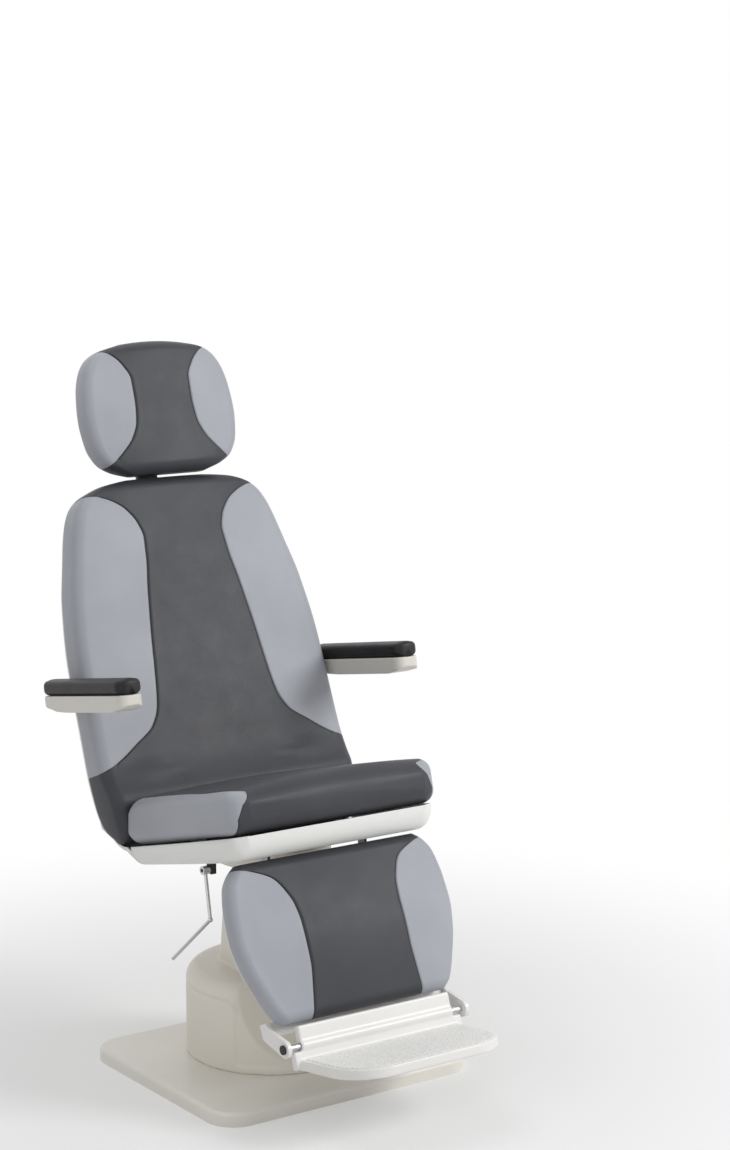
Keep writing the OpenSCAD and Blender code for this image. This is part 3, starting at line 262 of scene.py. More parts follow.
def mouldedPlastic(name, colour, darker, roughness):
    # moulded plastic with a fine spark-eroded texture: soft, even highlights
    return texturedFinish(name, colour, darker, roughness, plasticLook)


enamelLook = {"mottle": 0.28, "glossier": 0.04, "duller": 0.08, "glossPatch": 0.12, "grain": 0.003,
              "detail": 1.0, "depth": 0.00012, "strength": 0.35, "coat": 0.15, "coatRoughness": 0.2}


def bakedEnamel(name, colour, darker, roughness):
    # powder-coated steel: a faint orange-peel ripple about 3 mm across
    return texturedFinish(name, colour, darker, roughness, enamelLook)


steelLook = {"drawn": 0.04, "brighter": 0.07, "duller": 0.1, "scratchDepth": 0.00002, "scratchStrength": 0.4}


def brushedSteel(name, colour, roughness, streak=0.0006):
    # turned or drawn bright steel: thin streaks round the bar, this many metres apart
    look = steelLook
    material, tree, shader, where = newMaterial(name, colour, roughness, 1.0)
    stretched = addNode(tree, "ShaderNodeMapping", inputs={"Scale": (look["drawn"], 1, 1)},
                        links={"Vector": where})
    lines = addNode(tree, "ShaderNodeTexNoise", inputs={"Scale": 1 / streak, "Detail": 2.0},
                    links={"Vector": stretched.outputs["Vector"]})
    span = addNode(tree, "ShaderNodeMapRange",
                   inputs={"To Min": roughness - look["brighter"], "To Max": roughness + look["duller"]},
                   links={"Value": lines.outputs["Fac"]})
    tree.links.new(span.outputs["Result"], shader.inputs["Roughness"])
    scratched = addNode(tree, "ShaderNodeBump",
                        inputs={"Distance": look["scratchDepth"], "Strength": look["scratchStrength"]},
                        links={"Height": lines.outputs["Fac"]})
    tree.links.new(scratched.outputs["Normal"], shader.inputs["Normal"])
    return material


rubberLook = {"roughness": 0.8, "mottle": 0.02, "pore": 0.0015, "poreDepth": 0.0001, "poreStrength": 0.6}


def mouldedRubber(name, colour, darker):
    # moulded rubber: matt, slightly mottled, with fine pores
    look = rubberLook
    material, tree, shader, where = newMaterial(name, colour, look["roughness"])
    varyColour(tree, shader, where, colour, darker, look["mottle"])
    unevenSkin(tree, shader, where, look["pore"], 4.0, look["poreDepth"], look["poreStrength"])
    return material


treadLook = {"roughness": 0.6, "grain": 0.0042, "grainFrom": 0.15, "grainTo": 0.75, "grainDepth": 0.0006,
             "grainStrength": 0.6}


def treadSheet(name, colour, darker):
    # anti-slip vinyl sheet with pressed grains, drawn 4 mm across so that they show, with painted shade
    # darkening the low ground between them
    look = treadLook
    material, tree, shader, where = newMaterial(name, colour, look["roughness"])
    grains = addNode(tree, "ShaderNodeTexVoronoi", {"feature": "F1"}, {"Scale": 1 / look["grain"]},
                     {"Vector": where})
    # painted shade: paler on each grain's crown, darker towards the low ground between grains
    ramp = addNode(tree, "ShaderNodeValToRGB", links={"Fac": grains.outputs["Distance"]})
    paintRamp(ramp, ((look["grainFrom"], colour), (look["grainTo"], darker)))
    tree.links.new(ramp.outputs["Color"], shader.inputs["Base Color"])
    lift = addNode(tree, "ShaderNodeMapRange", inputs={"To Min": 1.0, "To Max": 0.0},
                   links={"Value": grains.outputs["Distance"]})
    pressed = addNode(tree, "ShaderNodeBump",
                      inputs={"Distance": look["grainDepth"], "Strength": look["grainStrength"]},
                      links={"Height": lift.outputs["Result"]})
    tree.links.new(pressed.outputs["Normal"], shader.inputs["Normal"])
    return material


darkVinyl = upholsteryVinyl("dark_grey_vinyl", "#424348", "#3B3C41")
twoToneVinyl = upholsteryVinyl("two_tone_vinyl", "#424348", "#3A3B40", "#ABAEB5", "#A1A4AB")
stitchThread = mouldedRubber("bonded_nylon_thread", "#5F6165", "#505256")
armVinyl = upholsteryVinyl("arm_pad_polyurethane", "#151516", "#101011")
shellPlastic = mouldedPlastic("shell_moulded_abs", "#F0F0EE", "#EAEAE7", 0.36)
coverPlastic = mouldedPlastic("cover_moulded_abs", "#F0EBE1", "#E8E3D8", 0.42)
baseEnamel = bakedEnamel("plate_powder_coat", "#EFECE4", "#E6E3DA", 0.44)
footEnamel = bakedEnamel("foot_powder_coat", "#F0EFED", "#E9E8E5", 0.36)
brightSteel = brushedSteel("bright_drawn_steel", "#C9CBCE", 0.24)
frameSteel = brushedSteel("zinc_plated_steel", "#9A9DA1", 0.42, 0.002)
blackSteel = bakedEnamel("black_oxide_steel", "#26272A", "#1F2023", 0.4)
blackPlastic = mouldedPlastic("black_moulded_nylon", "#242628", "#1E2022", 0.5)
motorPaint = bakedEnamel("motor_enamel", "#3D4147", "#34383E", 0.5)
padRubber = mouldedRubber("plate_pad_rubber", "#2A2A2B", "#232324")
# the second colour is the painted shade between the pressed grains
treadVinyl = treadSheet("anti_slip_sheet", "#FAFAF8", "#E2E1DE")
armPlastic = mouldedPlastic("arm_casing_abs", "#DFDCD5", "#D7D4CC", 0.4)

slotFinishes = {
    "base_enamel": baseEnamel, "cover_plastic": coverPlastic, "rubber_pads": padRubber,
    "steel_frame": frameSteel, "bright_steel": brightSteel, "black_plastic": blackPlastic,
    "black_steel": blackSteel, "motor_paint": motorPaint, "shell_plastic": shellPlastic,
    "vinyl": darkVinyl, "foot_enamel": footEnamel, "tread_rubber": treadVinyl,
}
nodeFinishes = {"arm_casing_right": armPlastic, "arm_casing_left": armPlastic}
for part in frame["record"]["subparts"]:
    name = part["node"]
    finish = nodeFinishes.get(name, slotFinishes[part["material_slot"]])
    nodes[name].data.materials.clear()
    nodes[name].data.materials.append(finish)
print("materials made for", len(nodes), "nodes")


# what all the soft covers share: lengths in metres, shares of the edge or of the fold's reach
cover = {"foldReach": 0.008, "reachShare": 0.3, "foldWidth": 0.0017, "swell": 0.35, "swellAway": 0.0055,
         "swellWidth": 0.003, "columnShares": (0.52, 0.37, 0.25, 0.12, 0, -0.12, -0.25, -0.37, -0.52),
         "outerShare": 0.87, "sag": 0.0125, "tuck": 0.12, "heel": 1.05, "hair": 0.0003, "endLap": 0.003,
         "seamRoom": 0.0079, "stitchInset": 0.0035, "stitchLift": 0.0004}


def padLoop(half, back, front, edge, crown, seam, groove, arcSteps=12):  # one loop round a padded panel
    inner = half - edge
    reach = min(cover["foldReach"], inner * cover["reachShare"])
    foldX = min(seam, inner - reach)
    points = [(0, back), (inner / 2, back + edge * cover["sag"])]
    for i in range(arcSteps + 1):
        a = math.radians(-90 + 90 * i / arcSteps)
        tuck = edge * (1 - math.cos(a)) * cover["tuck"] * (i < arcSteps)
        points.append((inner + edge * math.cos(a) - tuck, back + edge * cover["heel"] + edge * math.sin(a)))
    for i in range(1, arcSteps + 1):
        a = math.radians(90 * i / arcSteps)
        points.append((inner + edge * math.cos(a), front - edge + edge * math.sin(a)))
    outer = cover["outerShare"] * reach
    columns = [inner + (foldX + outer - inner) * k / 6 for k in range(1, 7)]
    columns += [foldX + share * reach for share in cover["columnShares"]]
    columns += [(foldX - outer) * (1 - k / 12) for k in range(13)]
    for x in columns:
        away = abs(x - foldX)
        sunk = -groove * math.exp(-(away / cover["foldWidth"]) ** 2)
        raised = groove * cover["swell"] * math.exp(-((away - cover["swellAway"]) / cover["swellWidth"]) ** 2)
        points.append((x, front + crown * (1 - (x / inner) ** 2) + (sunk + raised)))
    return points + [(-x, z) for x, z in points[-2:0:-1]]


def evenSteps(steps, draw):  # shares from 0 to 1, drawn closer together at both ends
    return [i / steps - draw * math.sin(2 * math.pi * i / steps) for i in range(steps + 1)]


def paddedPanel(name, stations):
    # stations: one dictionary each, with place (local to world), the loop's sizes and its height on the panel
    loops, distances, seamLine = [], [], []
    for station in stations:
        inner, seam = station["half"] - station["edge"], station["seam"]
        folded = seam <= inner - cover["seamRoom"] and station.get("sewn", True)
        loop = padLoop(station["half"], station["back"], station["front"], station["edge"], station["crown"],
                       seam, station["groove"] if folded else 0)
        shear = station.get("shear", lambda z: 0)
        sideOf = station.get("fromSeam", lambda x, z, seam=seam: abs(x) - seam)
        pleat = station.get("pleat", lambda x, z: 0)
        place, y, bow, half = station["place"], station["y"], station.get("bow", 0), station["half"]
        loops.append([place(x, y + shear(z) + bow * (1 - (x / half) ** 2), z + pleat(x, z)) for x, z in loop])
        distances.append([sideOf(x, z) for x, z in loop])
        if folded:
            z = station["front"] + station["crown"] * (1 - (seam / inner) ** 2)
            row = seam - cover["stitchInset"]
            seamLine.append([place(side * row, y + shear(z), z + cover["stitchLift"]) for side in (-1, 1)])
    made = skinned(name, loops, [twoToneVinyl], distances)
    return made, [[pair[side] for pair in seamLine] for side in (0, 1)]


def smoothStep(t):
    t = min(1, max(0, t))
    return t * t * (3 - 2 * t)


seat = {"half": 0.270, "length": 0.352, "thick": 0.092, "edge": 0.026, "crown": 0.010, "frontRound": 0.044,
        "rearRound": 0.020, "rearGap": 0.0006, "noseReach": 0.014, "rake": 14.5, "steps": 90, "draw": 0.12,
        "halves": [(0, 1), (0.3, 0.99), (0.6, 0.96), (0.8, 0.93), (0.92, 0.9), (0.97, 0.85), (1, 0.76)],
        "seamInset": 0.008, "seamSpread": 0.018, "spreadStart": 0.3, "spreadOver": 0.45, "groove": 0.0026,
        "grooveStart": 30, "grooveFade": 0.1, "sewnTo": 0.4, "noseSeam": 0.228, "noseStart": 0.78,
        "noseOver": 0.12, "tipSeam": 0.200, "tipHeight": 0.084, "tipFoot": 0.040, "tipOver": 0.006}


def seatStations():
    middle = seat["thick"] / 2
    for u in evenSteps(seat["steps"], seat["draw"]):
        full = min(endShare((1 - u) * seat["length"] + cover["endLap"], seat["frontRound"]),
                   endShare(u * seat["length"] + seat["rearRound"] / 3, seat["rearRound"]))
        half = seat["half"] * smoothAt(seat["halves"], u)
        slope = math.tan(math.radians(seat["rake"])) * (1 - u) ** 4  # the rear end stands upright
        edge = seat["edge"] * full
        seam = half - edge - seat["seamInset"]
        turned = smoothStep((u - seat["noseStart"]) / seat["noseOver"])
        edgeSeam = seam + seat["seamSpread"] * smoothStep((u - seat["spreadStart"]) / seat["spreadOver"])
        fading = 1 - smoothStep((u - seat["spreadStart"]) / seat["grooveFade"])

        def fromSeam(x, z, turned=turned, edgeSeam=edgeSeam):  # along the top edge, then round the nose
            rise = smoothStep((z - seat["tipFoot"]) / (seat["tipHeight"] - seat["tipFoot"]))
            nose = seat["noseSeam"] + (seat["tipSeam"] - seat["noseSeam"]) * rise
            over = smoothStep((z - seat["tipHeight"]) / seat["tipOver"])
            return abs(x) - edgeSeam - (nose - edgeSeam) * turned * (1 - over)

        yield {"place": onSeat, "half": half,
               "y": -seat["rearGap"] - u * (seat["length"] + seat["noseReach"]),
               "back": middle - (middle - cover["hair"]) * full, "front": middle + middle * full,
               "edge": edge, "crown": seat["crown"] * full, "seam": seam, "fromSeam": fromSeam,
               "groove": seat["groove"] * min(1, u * seat["grooveStart"]) * fading,
               "sewn": u < seat["sewnTo"],
               "shear": lambda z, slope=slope: -max(0, z - axes["seatSink"]) * slope}


back = {"half": 0.297, "length": 0.729, "low": -0.014, "thick": 0.082, "edge": 0.026, "edgeShare": 0.4,
        "crown": 0.009, "crownFoot": 0.2, "topRound": 0.030, "footRound": 0.012, "front": -0.007,
        "lumbarHeight": 0.071, "lumbar": 0.024, "lumbarEnd": 0.170, "footSlope": 66.4, "footShare": 0.9,
        "blend": (-0.009, -0.003, 0.003, 0.009), "cornerHeight": 0.041, "cornerRadius": 0.060,
        "steps": 130, "draw": 0.09, "seamInset": 0.004, "groove": 0.0026,
        "halves": [(-0.03, 0.9), (0.037, 0.965), (0.1, 0.99), (0.19, 1), (0.3, 0.995), (0.49, 0.985),
                   (0.67, 0.937), (0.777, 0.877), (0.887, 0.805), (0.93, 0.755), (0.958, 0.69),
                   (0.983, 0.56), (1, 0.34)],
        "seams": [(0, 1.25), (0.15, 1.2), (0.174, 1.03), (0.201, 0.867), (0.242, 0.712), (0.284, 0.57),
                  (0.338, 0.503), (0.434, 0.467), (0.558, 0.437), (0.675, 0.41), (0.764, 0.39),
                  (0.819, 0.39), (0.864, 0.434), (0.908, 0.546), (0.936, 0.70), (0.952, 0.88),
                  (0.96, 1.08), (1, 1.3)]}
pleats = {"height": 0.118, "place": 0.185, "tall": 0.022, "swell": 0.0045, "swellWide": 0.045,
          "crease": 0.004, "creaseWide": 0.007, "creaseLean": 0.9}


def backFront(y):
    if y < 0:
        return y * math.tan(math.radians(back["footSlope"])) * back["footShare"]
    if y < back["lumbarHeight"]:
        return y * (back["lumbar"] + back["front"]) / back["lumbarHeight"]
    fall = max(0, 1 - (y - back["lumbarHeight"]) / (back["lumbarEnd"] - back["lumbarHeight"]))
    return back["front"] + back["lumbar"] * fall ** 2


def backRear(y):
    flat = back["front"] - back["thick"]
    if y > back["cornerHeight"]:
        return flat
    r = back["cornerRadius"]
    return flat + r - math.sqrt(max(0, r * r - (y - back["cornerHeight"]) ** 2))


def pinch(x, y):  # the cover gathers in soft folds at each side of the back's foot, over the seat
    rise, out = y - pleats["height"], abs(x) - pleats["place"]
    swell = pleats["swell"] * math.exp(-(out / pleats["swellWide"]) ** 2)
    lean = out + pleats["swellWide"] - rise * pleats["creaseLean"]
    crease = pleats["crease"] * math.exp(-(lean / pleats["creaseWide"]) ** 2)
    return math.exp(-(rise / pleats["tall"]) ** 2) * (swell - crease)


def backStations():
    for a in evenSteps(back["steps"], back["draw"]):
        y = back["low"] + (back["length"] - back["low"]) * a
        full = min(endShare(back["length"] - y + cover["endLap"], back["topRound"]),
                   endShare(y - back["low"] + cover["endLap"], back["footRound"]))
        front = sum(backFront(y + d) for d in back["blend"]) / len(back["blend"]) - cover["hair"]
        rear = backRear(y) + cover["hair"]
        middle = (front + rear) / 2
        share = smoothAt(back["seams"], y / back["length"])
        half = back["half"] * smoothAt(back["halves"], y / back["length"])
        yield {"place": onBack, "y": y, "half": half, "back": middle + (rear - middle) * full,
               "front": middle + (front - middle) * full,
               "edge": min(back["edge"], (front - rear) * back["edgeShare"]) * full,
               "crown": back["crown"] * full * min(1, max(back["crownFoot"], y / back["lumbarHeight"])),
               "seam": half * share - back["seamInset"], "groove": back["groove"] * full,
               "pleat": lambda x, z, y=y, middle=middle: pinch(x, y) * (z > middle)}


head = {"half": 0.183, "length": 0.276, "low": -0.026, "thick": 0.062, "edge": 0.024, "crown": 0.010,
        "round": 0.026, "steps": 70, "draw": 0.12, "bow": 0.004, "bowStart": 0.8, "bowOver": 0.2,
        "seamInset": 0.008, "groove": 0.0024,
        "halves": [(0, 0.5), (0.05, 0.72), (0.12, 0.87), (0.25, 0.965), (0.45, 1), (0.65, 0.975),
                   (0.78, 0.925), (0.88, 0.84), (0.95, 0.7), (1, 0.42)],
        "seams": [(0, 1.1), (0.03, 0.95), (0.09, 0.80), (0.18, 0.64), (0.27, 0.52), (0.39, 0.44),
                  (0.56, 0.415), (0.72, 0.42), (0.82, 0.49), (0.90, 0.60), (0.955, 0.76), (1, 1.0)]}


def headStations():
    for a in evenSteps(head["steps"], head["draw"]):
        y = head["low"] + head["length"] * a
        full = min(endShare(y - head["low"] + cover["endLap"], head["round"]),
                   endShare(head["low"] + head["length"] - y + cover["endLap"], head["round"]))
        t = (y - head["low"]) / head["length"]
        half = head["half"] * smoothAt(head["halves"], t)
        seam = head["half"] * smoothAt(head["seams"], t) - head["seamInset"]
        middle = -head["thick"] / 2
        bow = head["bow"] * smoothStep((t - head["bowStart"]) / head["bowOver"])
        yield {"place": onHead, "y": y, "half": half, "bow": bow, "back": middle * (1 + full) + cover["hair"],
               "front": middle * (1 - full), "edge": head["edge"] * full, "crown": head["crown"] * full,
               "seam": seam, "groove": head["groove"] * full}


leg = {"half": 0.257, "length": 0.314, "thick": 0.048, "edge": 0.022, "crown": 0.026, "crownEnd": 0.1,
       "round": 0.022, "steps": 80, "draw": 0.12, "seamInset": 0.004, "groove": 0.0026,
       "halves": [(0, 0.82), (0.05, 0.89), (0.13, 0.953), (0.3, 0.992), (0.45, 1), (0.62, 0.967),
                  (0.78, 0.9), (0.94, 0.81), (1, 0.74)],
       "seams": [(0, 1.1), (0.02, 0.93), (0.06, 0.74), (0.13, 0.584), (0.22, 0.518), (0.3, 0.483),
                 (0.43, 0.467), (0.67, 0.467), (0.8, 0.483), (1, 0.515)]}


def legStations():
    for u in evenSteps(leg["steps"], leg["draw"]):
        full = min(endShare(u * leg["length"] + cover["endLap"], leg["round"]),
                   endShare((1 - u) * leg["length"] + cover["endLap"], leg["round"]))
        half = leg["half"] * smoothAt(leg["halves"], u)
        middle = -leg["thick"] / 2
        swell = leg["crownEnd"] + (1 - leg["crownEnd"]) * math.sin(math.pi * u)
        yield {"place": onLeg, "y": -u * leg["length"], "half": half,
               "back": middle * (1 + full) + cover["hair"], "front": middle * (1 - full),
               "edge": leg["edge"] * full, "crown": leg["crown"] * swell * full,
               "seam": leg["half"] * smoothAt(leg["seams"], u) - leg["seamInset"],
               "groove": leg["groove"] * full}


seatPad, seatSeams = paddedPanel("seat_upholstery", seatStations())
backPad, backSeams = paddedPanel("back_upholstery", backStations())
headPad, headSeams = paddedPanel("headrest_upholstery", headStations())
legPad, legSeams = paddedPanel("leg_upholstery", legStations())
for pad, body, node in ((seatPad, "seat", "seat_cushion"),
                        (backPad, "back", "back_cushion"),
                        (headPad, "headrest", "headrest_cushion"),
                        (legPad, "leg_rest", "leg_cushion")):
    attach(pad, body)
    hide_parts(node)
print("upholstery made")


arm = {"length": 0.322, "width": 0.056, "behind": 0.032, "thick": 0.030, "corner": 0.020, "edge": 0.011,
       "edgeShare": 0.9, "endEdge": 0.2, "endThick": 0.6, "cornerLap": 0.0002, "edgeLap": 0.002,
       "crown": 0.0022, "seamShare": 0.4, "bed": 0.0001, "gap": 0.0045, "pinHeight": 0.288,
       "pinDepth": -0.054, "tilt": 10, "lift": 0.016, "steps": 60, "draw": 0.13}


def onArm(side):
    pin = onBack(0, arm["pinHeight"], arm["pinDepth"])
    c, s = math.cos(math.radians(-arm["tilt"])), math.sin(math.radians(-arm["tilt"]))
    middle = side * (back["half"] + arm["gap"] + arm["width"] / 2)

    def place(x, y, z):
        z += arm["lift"]
        return (middle + x, pin[1] + y * c - z * s, pin[2] + y * s + z * c)

    return place


def armPad(name, side, body, node):
    loops = []
    place = onArm(side)
    for a in evenSteps(arm["steps"], arm["draw"]):
        y = arm["behind"] - arm["length"] * a
        gone = min(a, 1 - a) * arm["length"]
        rounding = arm["corner"] * endShare(gone + arm["cornerLap"], arm["corner"])
        half = arm["width"] / 2 - arm["corner"] + rounding
        full = endShare(gone + arm["edgeLap"], arm["edge"])
        edge = min(arm["edge"], half * arm["edgeShare"]) * max(arm["endEdge"], full)
        top = arm["thick"] * (arm["endThick"] + (1 - arm["endThick"]) * full)
        loop = padLoop(half, arm["bed"], top, edge, arm["crown"] * full, half * arm["seamShare"], 0)
        loops.append([place(x, y, max(z, arm["bed"])) for x, z in loop])
    made = skinned(name, loops, [armVinyl])
    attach(made, body)
    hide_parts(node)


armPad("arm_pad_soft_right", -1, "arm_right", "arm_pad_right")
armPad("arm_pad_soft_left", 1, "arm_left", "arm_pad_left")
print("arm pads made")


pan = {"wall": 0.004, "outerShare": 0.98, "innerShare": 0.96, "weld": 1e-7}


def panLoop(half, rim, floor, radius, arcSteps=10):  # one loop round the wall of a shallow pan
    up, deep = (1 if rim > floor else -1), abs(rim - floor)
    web = min(pan["wall"], deep / 2)

    def side(w, base, r):
        made = [(0, base), ((w - r) / 2, base)]
        for i in range(arcSteps + 1):
            a = math.radians(90 * i / arcSteps)
            made.append((w - r + r * math.sin(a), base + up * (r - r * math.cos(a))))
        return made + [(w, rim)]

    outer = side(half, floor, min(radius, deep * pan["outerShare"]))
    tight = min(radius - pan["wall"], (deep - web) * pan["innerShare"])
    inner = side(half - pan["wall"], floor + up * web, tight)
    return outer + inner[::-1] + [(-x, z) for x, z in inner[1:]] + [(-x, z) for x, z in outer[:0:-1]]


def panSkin(name, loops, material):
    count = len(loops[0])
    made = skinned(name, loops, [material])
    mesh = made.data
    half = (count + 2) // 4  # strips take the place of the end fans and close each end along its wall
    strips = []
    for i in range(half - 1):
        left = 0 if i == 0 else 4 * half - 2 - i
        following = 4 * half - 3 - i
        strips.append((i, i + 1, 2 * half - 2 - i, 2 * half - 1 - i))
        strips.append((following, left, 2 * half - 1 + i, 2 * half + i))
    points = [tuple(v.co) for v in mesh.vertices][:count * len(loops)]
    faces = [tuple(p.vertices) for p in mesh.polygons if max(p.vertices) < len(points)]
    last = (len(loops) - 1) * count
    ends = [tuple(s[::-1]) for s in strips] + [tuple(last + k for k in s) for s in strips]
    bpy.data.objects.remove(made)
    remade = meshObject(name, points, faces + ends, [material])
    settle = remade.modifiers.new("settle", "WELD")
    settle.merge_threshold = pan["weld"]
    return remade


def bevelled(piece, width, segments=3, sharpFrom=40):  # rounds edges that turn by more degrees than this
    bevel = piece.modifiers.new("rounded edges", "BEVEL")
    bevel.width, bevel.segments = width, segments
    bevel.limit_method, bevel.angle_limit = "ANGLE", math.radians(sharpFrom)
    return piece


shells = {"seatDepth": 0.040, "seatFall": 0.010, "seatRound": 0.050, "seatRadius": 0.034, "seatGap": 0.002,
          "backInset": 0.015, "backDepth": 0.033, "backRadius": 0.032, "lipRadius": 0.058, "lipTurn": 78,
          "lipInset": 0.008, "gap": 0.006, "skin": 0.001, "headDepth": 0.022, "headInset": 0.026,
          "headGap": 0.0011, "legDepth": 0.018, "legInset": 0.013, "draw": 0.12,
          "seatSteps": 60, "lipSteps": 30, "backSteps": 80, "steps": 50,
          "tray": [(0, 1), (0.5, 0.97), (0.85, 0.91), (0.95, 0.87), (1, 0.78)],
          "rims": [(0, 0.9), (20, 0.63), (40, 0.46), (57, 0.45), (90, 0.47)],
          "floors": [(0, 1.58), (12, 1.36), (24, 1.14), (34, 1.03), (42, 1), (90, 1)],
          "backFloors": [(0, 0.22), (0.04, 0.7), (0.09, 0.95), (0.15, 1), (0.94, 1), (1, 1)]}


def seatTray():
    loops = []
    for i in range(shells["seatSteps"] + 1):
        u = math.sin(math.radians(90 * i / shells["seatSteps"]))
        deep = shells["seatDepth"] + shells["seatFall"] * u
        floor = -deep * endShare((1 - u) * seat["length"], shells["seatRound"])
        half = seat["half"] * smoothAt(shells["tray"], u)
        loop = panLoop(half, 0, min(-shells["skin"], floor), shells["seatRadius"])
        y = -shells["seatGap"] - u * (seat["length"] - shells["seatGap"])
        loops.append([onSeat(x, y, z) for x, z in loop])
    return panSkin("seat_tray", loops, shellPlastic)


def backShell():  # a lip about the hinge, which slides inside the tray, and the pan above it
    loops, lipHalf, radius = [], seat["half"] - shells["lipInset"], shells["backRadius"]
    for i in range(shells["lipSteps"] + 1):
        a = shells["lipTurn"] * (1 - i / shells["lipSteps"])
        rim = back["thick"] * smoothAt(shells["rims"], a)
        floor = shells["lipRadius"] * smoothAt(shells["floors"], a)
        s, c = math.sin(math.radians(a)), math.cos(math.radians(a))
        loops.append([onBack(x, z * s, z * c) for x, z in panLoop(lipHalf, -rim, -floor, radius)])
    length = back["length"] - shells["gap"]
    for i in range(1, shells["backSteps"] + 1):
        y = length * math.sin(math.radians(90 * i / shells["backSteps"]))
        half = back["half"] * smoothAt(back["halves"], y / back["length"]) - shells["backInset"]
        if y < back["cornerHeight"]:
            half = lipHalf + (back["half"] - shells["backInset"] - lipHalf) * y / back["cornerHeight"]
        rim = backRear(y)
        full = smoothAt(shells["backFloors"], y / back["length"]) * (shells["backDepth"] + cover["hair"])
        floor = rim - shells["skin"] - full * endShare(length - y, shells["backDepth"])
        loops.append([onBack(x, y, z) for x, z in panLoop(half, rim, floor, radius)])
    return panSkin("back_shell_moulding", loops, shellPlastic)


def headShell():
    loops, deep = [], shells["headDepth"]
    low, high = head["low"] + shells["gap"], head["low"] + head["length"] - shells["gap"]
    rear = -head["thick"]
    for a in evenSteps(shells["steps"], shells["draw"]):
        y = low + (head["length"] - 2 * shells["gap"]) * a
        full = min(endShare(y - head["low"] - shells["gap"], deep), endShare(high - y, deep))
        share = smoothAt(head["halves"], (y - head["low"]) / head["length"])
        half = head["half"] * share - shells["headInset"]
        loop = panLoop(half, rear + shells["headGap"], rear - shells["skin"] - deep * full, deep)
        loops.append([onHead(x, y, z) for x, z in loop])
    return panSkin("headrest_shell_moulding", loops, shellPlastic)


def legShell():
    loops, deep = [], shells["legDepth"]
    rear = -leg["thick"]
    for u in evenSteps(shells["steps"], shells["draw"]):
        full = min(endShare(u * leg["length"], deep), endShare((1 - u) * leg["length"], deep))
        half = leg["half"] * smoothAt(leg["halves"], u) - shells["legInset"]
        y = -shells["gap"] - u * (leg["length"] - 2 * shells["gap"])
        loop = panLoop(half, rear, rear - shells["skin"] - deep * full, deep)
        loops.append([onLeg(x, y, z) for x, z in loop])
    return panSkin("leg_shell_moulding", loops, shellPlastic)


def plateAlongX(name, outline, x0, x1, place, material, rounding):  # a flat outline given thickness along X
    count = len(outline)
    points = [place(x, y, z) for x in (x0, x1) for y, z in outline]
    faces = [tuple(range(count))[::-1], tuple(range(count, 2 * count))]
    faces += [(i, (i + 1) % count, count + (i + 1) % count, count + i) for i in range(count)]
    made = meshObject(name, points, faces, [material])
    if isInsideOut(made):
        made.data.flip_normals()
    return bevelled(made, rounding)


for piece, body, node in ((seatTray(), "seat", "seat_shell"),
                          (backShell(), "back", "back_shell"),
                          (headShell(), "headrest", "headrest_shell"),
                          (legShell(), "leg_rest", "leg_backing")):
    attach(piece, body)
    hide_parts(node)

hinge = {"height": 0.865, "depth": -0.084, "radius": 0.0105, "clampWidth": 0.044, "ear": 0.007,
         "reach": 0.025, "gap": 0.0002, "rounding": 0.0008}
low, high = hinge["height"] - hinge["radius"], hinge["height"] + hinge["radius"]
front = hinge["depth"] + hinge["reach"]
earOutline = [(hinge["height"] - hinge["radius"] * math.cos(math.radians(a)),
               hinge["depth"] - hinge["radius"] * math.sin(math.radians(a))) for a in range(0, 181, 12)]
earOutline += [(high, front), (low, front)]
for name, side in (("headrest_ear_right", -1), ("headrest_ear_left", 1)):
    near = side * (hinge["clampWidth"] / 2 + hinge["gap"])
    far = near + side * hinge["ear"]
    ear = plateAlongX(name, earOutline, near, far, onBack, shellPlastic, hinge["rounding"])
    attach(ear, "headrest")

ledge = {"half": 0.205, "height": 0.016, "lap": 0.012, "depth": 0.018, "rounding": 0.003}
low, high = -leg["length"] - ledge["height"], -leg["length"] + ledge["lap"]
rear = -leg["thick"] - shells["legDepth"]
front = rear + ledge["depth"]
ledgeOutline = [(low, rear), (high, rear), (high, front), (low, front)]
legLedge = plateAlongX("leg_shell_ledge", ledgeOutline, -ledge["half"], ledge["half"], onLeg, shellPlastic,
                       ledge["rounding"])
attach(legLedge, "leg_rest")
print("moulded shells made")


# the drum of the base, in metres and degrees: its web, and the shadow line scored round it
drum = {"radius": 0.178, "top": 0.212, "round": 0.034, "front": -0.0919, "web": 0.007, "foot": 0.150,
        "skin": 0.0003, "webSteps": 14, "lineTurn": 46, "lineBlend": 24, "lineHeight": 0.172,
        "lineFall": 0.050, "lineDepth": 0.0042, "lineWidth": 0.0034, "lineReach": 0.003}


def thickenDrumFront(mesh):  # a web inside the step over the front slope, where the wall is thinnest
    outline = []
    for i in range(drum["webSteps"] + 1):
        z = drum["foot"] + (drum["top"] - drum["skin"] - drum["foot"]) * i / drum["webSteps"]
        over = max(0, z - drum["top"] + drum["round"])
        reach = drum["radius"] - drum["round"] + math.sqrt(drum["round"] ** 2 - over ** 2) - drum["skin"]
        outline.append((math.sqrt(reach ** 2 - drum["front"] ** 2), z))
    outline += [(-x, z) for x, z in outline[::-1]]
    shape = bmesh.new()
    shape.from_mesh(mesh)
    near = [shape.verts.new((x, drum["front"], z)) for x, z in outline]
    far = [shape.verts.new((x, drum["front"] + drum["web"], z)) for x, z in outline]
    faces = [shape.faces.new(near), shape.faces.new(far[::-1])]
    for i in range(len(outline)):
        k = (i + 1) % len(outline)
        faces.append(shape.faces.new((near[i], far[i], far[k], near[k])))
    bmesh.ops.recalc_face_normals(shape, faces=faces)
    shape.to_mesh(mesh)
    shape.free()


